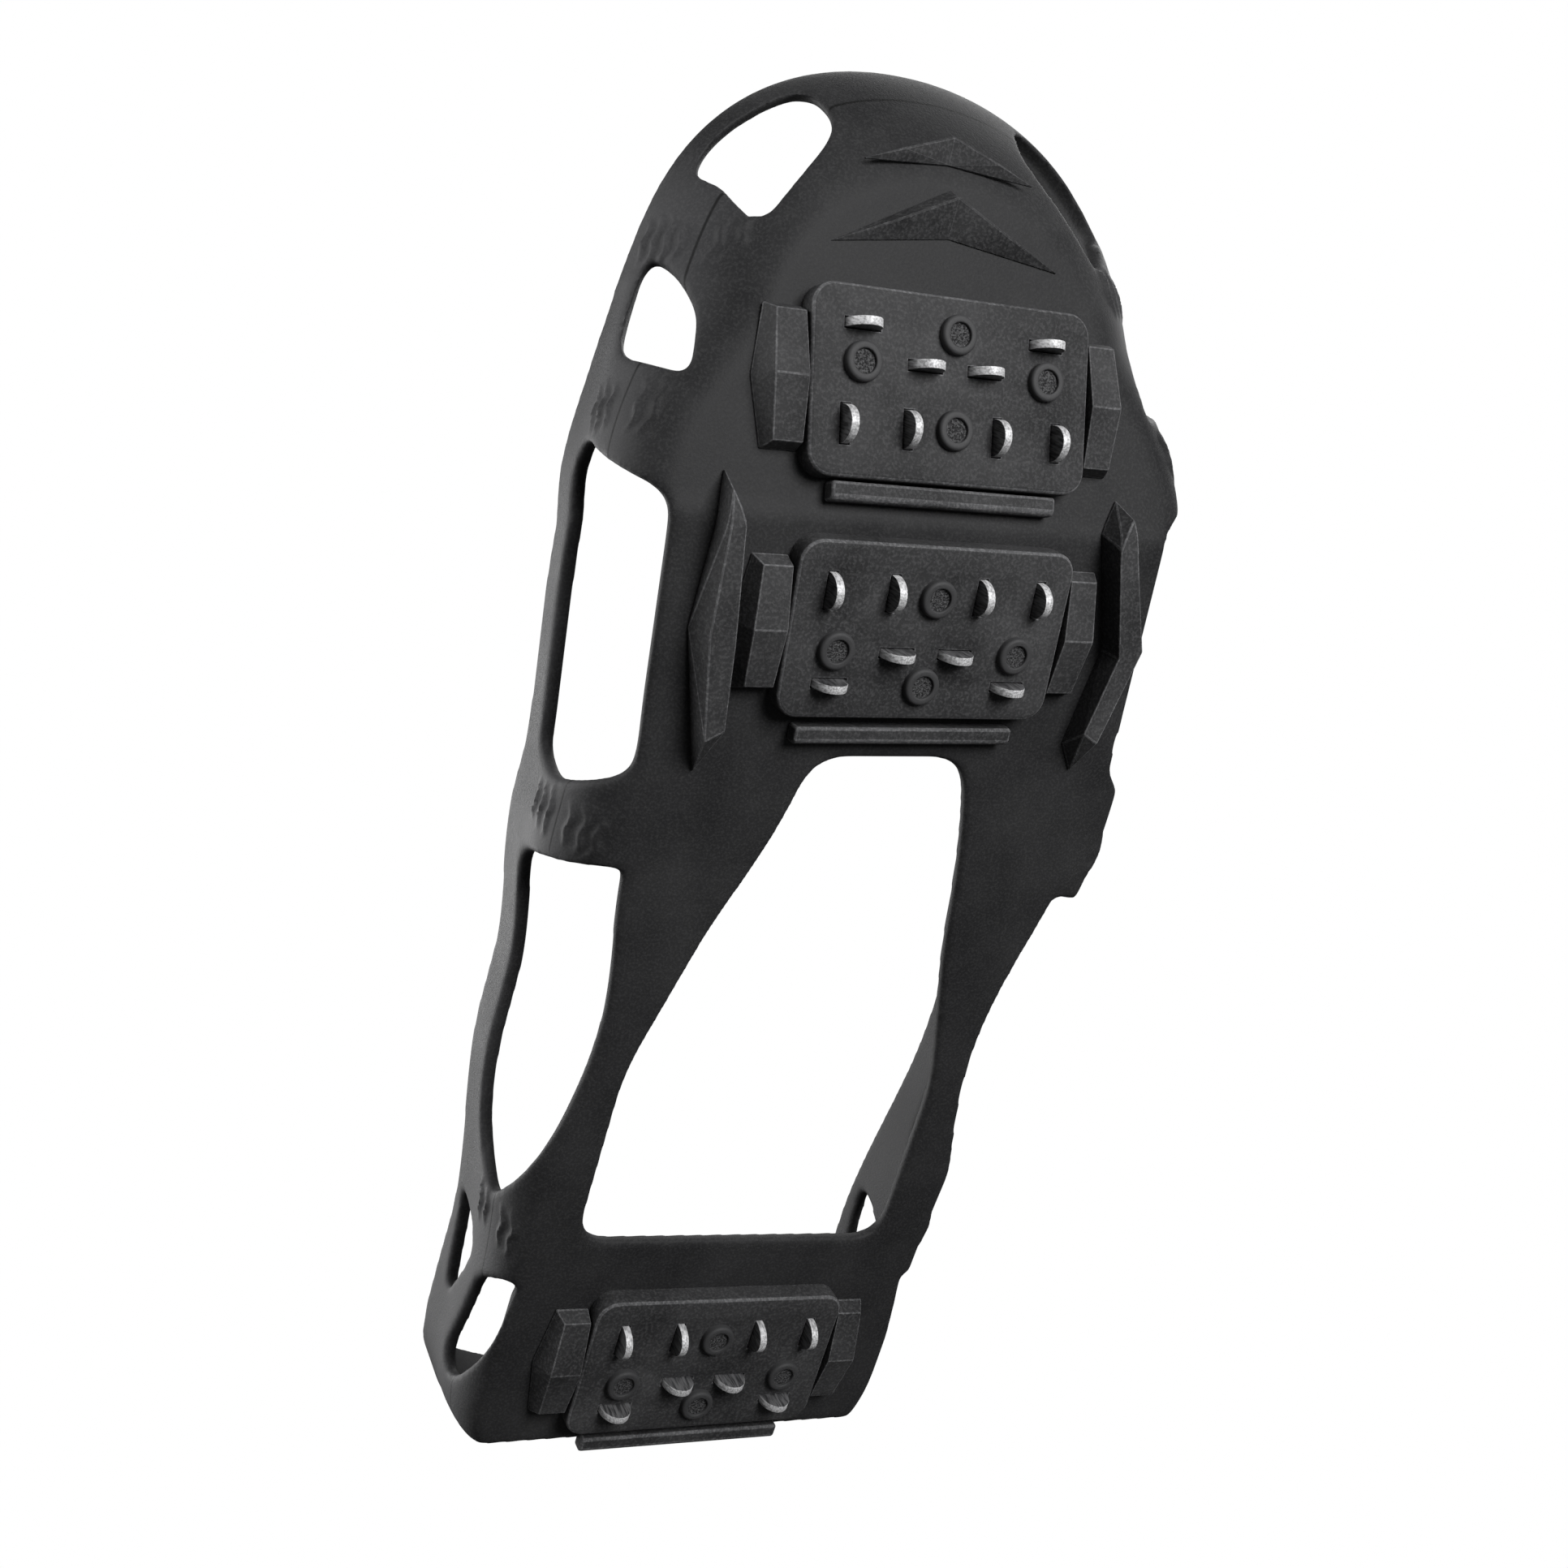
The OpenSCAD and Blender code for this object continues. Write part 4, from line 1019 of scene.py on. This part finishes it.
# %% Tread pad
PAD_W, PAD_L, PAD_T, PAD_Z, PAD_CORNER, PAD_EDGE = 58.0, 33.5, 4.5, 4.0, 4.5, 0.9
TOOTH_W, TOOTH_T, TOOTH_ROOM, SLOT_H, SLOT_EDGE = 6.8, 1.6, 0.2, 3.0, 0.22
teeth = [(side * x, y, turned) for side in (-1, 1) for x, y, turned in (
    (22.0, 7.5, 90), (9.3, 7.5, 90), (19.1, -9.9, 0), (6.2, -3.8, 0))]
rivet_places = [(0, 7.0), (-19.1, -3.4), (19.1, -3.4), (0, -9.9)]


def block(name, size, middle):
    """A cube scaled to size in millimetres, with its place in its mesh."""
    deselect()
    bpy.ops.mesh.primitive_cube_add(size=1, location=place(middle))
    made = bpy.context.object
    made.name = name
    made.scale = [v * MM for v in size]
    bpy.ops.object.transform_apply(location=True, rotation=True, scale=True)
    return made


def bevel_edges(obj, chosen, width, segments):
    """Bevels the edges that chosen picks from their two ends, in millimetres."""
    choose(obj)
    bpy.ops.object.mode_set(mode="EDIT")
    bpy.ops.mesh.select_mode(type="EDGE")
    bpy.ops.mesh.select_all(action="DESELECT")
    bm = bmesh.from_edit_mesh(obj.data)
    for e in bm.edges:
        a, b = (measure(v.co) for v in e.verts)
        e.select_set(bool(chosen(a, b)))
    bmesh.update_edit_mesh(obj.data)
    bpy.ops.mesh.bevel(offset=width * MM, segments=segments, affect="EDGES", clamp_overlap=True)
    bpy.ops.object.mode_set(mode="OBJECT")


pad = block("pad", (PAD_W, PAD_L, PAD_T), (0, 0, PAD_Z + PAD_T / 2))
bevel_edges(pad, lambda a, b: abs(a[2] - b[2]) > 1, PAD_CORNER, 8)
bevel_edges(pad, lambda a, b: a[2] < PAD_Z + 0.1 and b[2] < PAD_Z + 0.1, PAD_EDGE, 4)
slots = []
for x, y, turned in teeth:
    plan = (TOOTH_W + 2 * TOOTH_ROOM, TOOTH_T + 2 * TOOTH_ROOM)
    slots.append(block("slot", (*(plan[::-1] if turned else plan), SLOT_H), (x, y, PAD_Z)))


def join(target, others):
    """Joins the other pieces into target."""
    choose(target)
    for obj in others:
        obj.select_set(True)
    bpy.ops.object.join()
    return target


def round_slot(a, b):
    """Whether an edge lies on the lower face, inside the rounded rim."""
    level = max(abs(a[2] - PAD_Z), abs(b[2] - PAD_Z)) < 0.02
    far_x, far_y = (max(abs(a[k]), abs(b[k])) for k in (0, 1))
    return level and far_x < PAD_W / 2 - 2 and far_y < PAD_L / 2 - 1.5


take_away(pad, join(slots[0], slots[1:]))
bevel_edges(pad, round_slot, SLOT_EDGE, 2)
pad.data.materials.clear()
pad.data.materials.append(tread_rubber)
pad.data.materials.append(edge_wear_and_highlight_rubber)
# The pad's rounded lower rim takes the paler edge rubber: rubbed wear with a painted highlight
for f in pad.data.polygons:
    rim_face = -0.97 < f.normal.z < -0.3 and abs(abs(f.center.z / MM - PAD_Z) - 0.3) < 0.3
    f.material_index = 1 if rim_face else 0
shade(pad, 32)
print("pad", len(pad.data.polygons), "faces")
copy_to_pads(pad, "tread_pad", "pad")

# %% [markdown]
# A tooth is a tab of the plate, bent down square and stamped to a rounded end that wear has cut
# flat. A filled circle is drawn out to an oval, cut off straight by Bisect at the tip and at the
# middle, and extruded to the plate's thickness. Its root is then pulled up into the pad, where
# the plate lies hidden, and its edges get a small bevel.

# %% Studded plate
PLATE_W, PLATE_L, PLATE_TOP = 50.0, 27.0, 8.5
ROOT_Z, TOOTH_DEPTH, TIP_WEAR, TOOTH_EDGE = 7.0, 4.2, 0.12, 0.16


def round_edges(obj, width, segments, degrees, material=-1):
    """Rounds every edge that is sharper than so many degrees, and may give it its own material."""
    edge = obj.modifiers.new("edge", "BEVEL")
    edge.width = width * MM
    edge.segments = segments
    edge.limit_method = "ANGLE"
    edge.angle_limit = math.radians(degrees)
    edge.material = material
    finish_modifiers(obj)


def tooth_at(x, y, turned):
    deselect()
    bpy.ops.mesh.primitive_circle_add(vertices=56, fill_type="NGON", radius=TOOTH_W / 2 * MM,
                                      rotation=(math.pi / 2, 0, 0))
    made = bpy.context.object
    bpy.ops.object.transform_apply(rotation=True)
    edit_all(made)
    bpy.ops.transform.resize(value=(1, 1, 2 * TOOTH_DEPTH / TOOTH_W))
    for at, normal in ((TIP_WEAR - TOOTH_DEPTH, (0, 0, 1)), (0, (0, 0, -1))):
        bpy.ops.mesh.select_all(action="SELECT")
        bpy.ops.mesh.bisect(plane_co=(0, 0, at * MM), plane_no=normal, clear_inner=True,
                            use_fill=True)
    bpy.ops.mesh.select_all(action="SELECT")
    bpy.ops.mesh.dissolve_limited(angle_limit=math.radians(0.5))
    bpy.ops.mesh.select_all(action="SELECT")
    bpy.ops.mesh.extrude_region_move(TRANSFORM_OT_translate={"value": (0, TOOTH_T * MM, 0)})
    bpy.ops.mesh.select_all(action="SELECT")
    bpy.ops.transform.translate(value=(0, -TOOTH_T / 2 * MM, 0))
    bpy.ops.mesh.normals_make_consistent(inside=False)
    bpy.ops.object.mode_set(mode="OBJECT")
    heights = [v.co.z for v in made.data.vertices]
    top, bottom = max(heights), min(heights)
    for v in made.data.vertices:
        if v.co.z > top - 1e-6:
            v.co.z = bottom + ROOT_Z * MM
    round_edges(made, TOOTH_EDGE, 2, 50)
    # Rim faces take the bright steel: polished wear with a painted reflection
    rim = made.data.attributes.new("rim", "FLOAT", "FACE")
    for f in made.data.polygons:
        rim.data[f.index].value = 0.0 if abs(f.normal.y) > 0.9 else 1.0
    standing = Vector(place((x, y, 0.0))) - Vector((0, 0, bottom))
    made.data.transform(Matrix.Translation(standing) @ Matrix.Rotation(math.radians(turned), 4, "Z"))
    return made


PLATE_CORNER = 2.2
tooth_pieces = [tooth_at(*spot) for spot in teeth]
plate = block("plate", (PLATE_W, PLATE_L, TOOTH_T), (0, 0, PLATE_TOP - TOOTH_T / 2))
bevel_edges(plate, lambda a, b: abs(a[2] - b[2]) > 1, PLATE_CORNER, 5)
plate.data.attributes.new("rim", "FLOAT", "FACE")
join(plate, tooth_pieces)
plate.data.materials.append(tooth_steel)
shade(plate, 30)
lowest = min(v.co.z for v in plate.data.vertices)
print("plate", len(plate.data.polygons), "faces, lowest at", round(lowest / MM, 2), "mm")
copy_to_pads(plate, "studded_plate", "cleat_plate")

# %% [markdown]
# A rivet has a round button head with a rough dish. A cylinder gets its rim rounded with Bevel,
# and its lower face is inset and pushed in for the dish.

# %% Rivets
RIVET_D, RIVET_H, RIVET_SUNK, DISH_D, DISH_DEPTH = 7.2, 1.5, 1.0, 4.4, 0.6
RIVET_EDGE, DISH_EDGE, DISH_RINGS = 0.65, 0.25, (0.5, 0.7)


def rivet_at(x, y):
    deselect()
    bpy.ops.mesh.primitive_cylinder_add(
        vertices=48, radius=RIVET_D / 2 * MM, depth=(RIVET_H + RIVET_SUNK) * MM,
        location=place((x, y, PAD_Z + (RIVET_SUNK - RIVET_H) / 2)))
    made = bpy.context.object
    bpy.ops.object.transform_apply(location=True)
    edit_all(made)
    select_faces(made, lambda p, normal: normal.z < -0.9)
    bpy.ops.mesh.inset(thickness=(RIVET_D - DISH_D) / 2 * MM)
    bpy.ops.mesh.extrude_region_move(TRANSFORM_OT_translate={"value": (0, 0, DISH_DEPTH * MM)})
    for ring in DISH_RINGS:
        bpy.ops.mesh.inset(thickness=ring * MM)
    bpy.ops.object.mode_set(mode="OBJECT")

    def from_axis(p):
        return math.hypot(p[0] - x, p[1] - y)

    def at_rim(a, b, radius):
        lowest = max(a[2], b[2]) < PAD_Z - RIVET_H + 0.05
        return lowest and max(abs(from_axis(p) - radius) for p in (a, b)) < 0.05

    bevel_edges(made, lambda a, b: at_rim(a, b, RIVET_D / 2), RIVET_EDGE, 5)
    bevel_edges(made, lambda a, b: at_rim(a, b, DISH_D / 2), DISH_EDGE, 3)
    dish = made.data.attributes.new("dish", "FLOAT", "FACE")
    for f in made.data.polygons:
        in_dish = from_axis(measure(f.center)) < DISH_D / 2 - 0.1 and f.normal.z < -0.5
        dish.data[f.index].value = 1.0 if in_dish else 0.0
    return made


rivet_pieces = [rivet_at(x, y) for x, y in rivet_places]
rivet_set = join(rivet_pieces[0], rivet_pieces[1:])
rivet_set.data.materials.append(rivet_steel)
shade(rivet_set, 35)
print("rivets", len(rivet_set.data.polygons), "faces")
copy_to_pads(rivet_set, "rivet_set", "rivets")

# %% [markdown]
# Lugs, bars, chevrons and blades are plain faceted ribs of the same tread rubber. Their CAD
# solids have the right facets, so each is copied, its triangles are joined into flat faces with
# Limited Dissolve, and a Bevel modifier rounds the edges. The bevel's own faces take the paler
# edge rubber: rubbed wear, and a painted highlight.

# %% Faceted ribs
def keep_facets(obj):
    """Shades each large face flat and only the rounded edges between them smooth."""
    choose(obj)
    bpy.ops.object.shade_smooth()
    bm = bmesh.new()
    bm.from_mesh(obj.data)
    for e in bm.edges:
        flat_pair = len(e.link_faces) == 2 and all(f.material_index == 0 for f in e.link_faces)
        e.smooth = not (flat_pair and e.calc_face_angle(0) > math.radians(1))
    bm.to_mesh(obj.data)
    bm.free()
    weigh = obj.modifiers.new("flat", "WEIGHTED_NORMAL")
    weigh.weight = 90
    weigh.keep_sharp = True
    finish_modifiers(obj)


LUG_HALF_L, LUG_SLOPE, LUG_CREST_BELOW = 12.5, 1.5, 5.0
LUG_EDGE, BAR_EDGE, CHEVRON_EDGE = 0.7, 0.6, 0.4
FLAT_WITHIN, SHARP_FROM = 1.2, 12


def slope_lugs(obj, matrix):
    """Folds the lugs of one pad across their middle, so that both ends of the crest fall away."""
    edit_all(obj)
    bpy.ops.mesh.bisect(plane_co=matrix @ Vector(START), plane_no=matrix.to_3x3() @ Vector(FORWARD))
    bpy.ops.object.mode_set(mode="OBJECT")
    for v in obj.data.vertices:
        p = measure(matrix.inverted() @ v.co)
        if p[2] < LUG_CREST_BELOW:
            p[2] += LUG_SLOPE * min(1.0, abs(p[1]) / LUG_HALF_L)
            v.co = matrix @ Vector(place(p))
    obj.data.update()


def faceted_copy(name, node, edge, sloped_at=None):
    """A copy of a CAD solid with clean flat faces and rounded edges."""
    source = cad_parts[node]
    made = bpy.data.objects.new(name, source.data.copy())
    scene.collection.objects.link(made)
    made.data.materials.clear()
    made.data.materials.append(tread_rubber)
    made.data.materials.append(edge_wear_and_highlight_rubber)
    for f in made.data.polygons:
        f.material_index = 0
    edit_all(made)
    bpy.ops.mesh.remove_doubles(threshold=MERGE)
    if sloped_at is not None:
        slope_lugs(made, sloped_at)
    edit_all(made)
    bpy.ops.mesh.dissolve_limited(angle_limit=math.radians(FLAT_WITHIN))
    bpy.ops.object.mode_set(mode="OBJECT")
    # Bevel faces, the crease of each lug included, take the paler edge rubber: rubbed wear and a painted
    # highlight
    round_edges(made, edge, 3, SHARP_FROM, material=1)
    keep_facets(made)
    return made


for word, body, matrix in PAD_PLACES:
    for part, edge, sloped_at in (("side_lugs", LUG_EDGE, matrix), ("bar", BAR_EDGE, None)):
        made = faceted_copy(word + "_" + part + "_rubber", word + "_" + part, edge, sloped_at)
        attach(made, body)
        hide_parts(word + "_" + part)
for word in ("large", "small"):
    made = faceted_copy(word + "_chevron_rubber", "toe_chevron_" + word, CHEVRON_EDGE)
    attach(made, "forefoot")
    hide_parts("toe_chevron_" + word)
print("chevrons and lugs ready")

# %% [markdown]
# The long side blades start under the mid pad and run on past the bend line, so their front
# tips rise with the springing toe. They are bisected a few times near the bend, and their points
# take the same spring as the web.

# %% Side blades
BLADE_EDGE, BLADE_CUTS = 0.5, (17.0, 18.5, 20.0, 21.5, 23.5)
for word in ("left", "right"):
    made = faceted_copy(word + "_blade_rubber", word + "_blade", BLADE_EDGE)
    edit_all(made)
    for y in BLADE_CUTS:
        bpy.ops.mesh.select_all(action="SELECT")
        bpy.ops.mesh.bisect(plane_co=Vector(place((0, y, 0))), plane_no=FORWARD)
    bpy.ops.object.mode_set(mode="OBJECT")
    p = measure(of_points(made, "co"))
    sprung = tilt(p, np.radians(SPRING) * ramp(p[:, 1], WEB_CUT_Y, TOE_CUT_Y))
    made.data.vertices.foreach_set("co", place(sprung).ravel())
    made.data.update()
    tuple(place((0, WEB_CUT_Y, HINGE_Z)))
    tuple(place(toe_cut_at))
    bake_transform(made)
    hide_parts(word + "_blade")
print("blades ready")
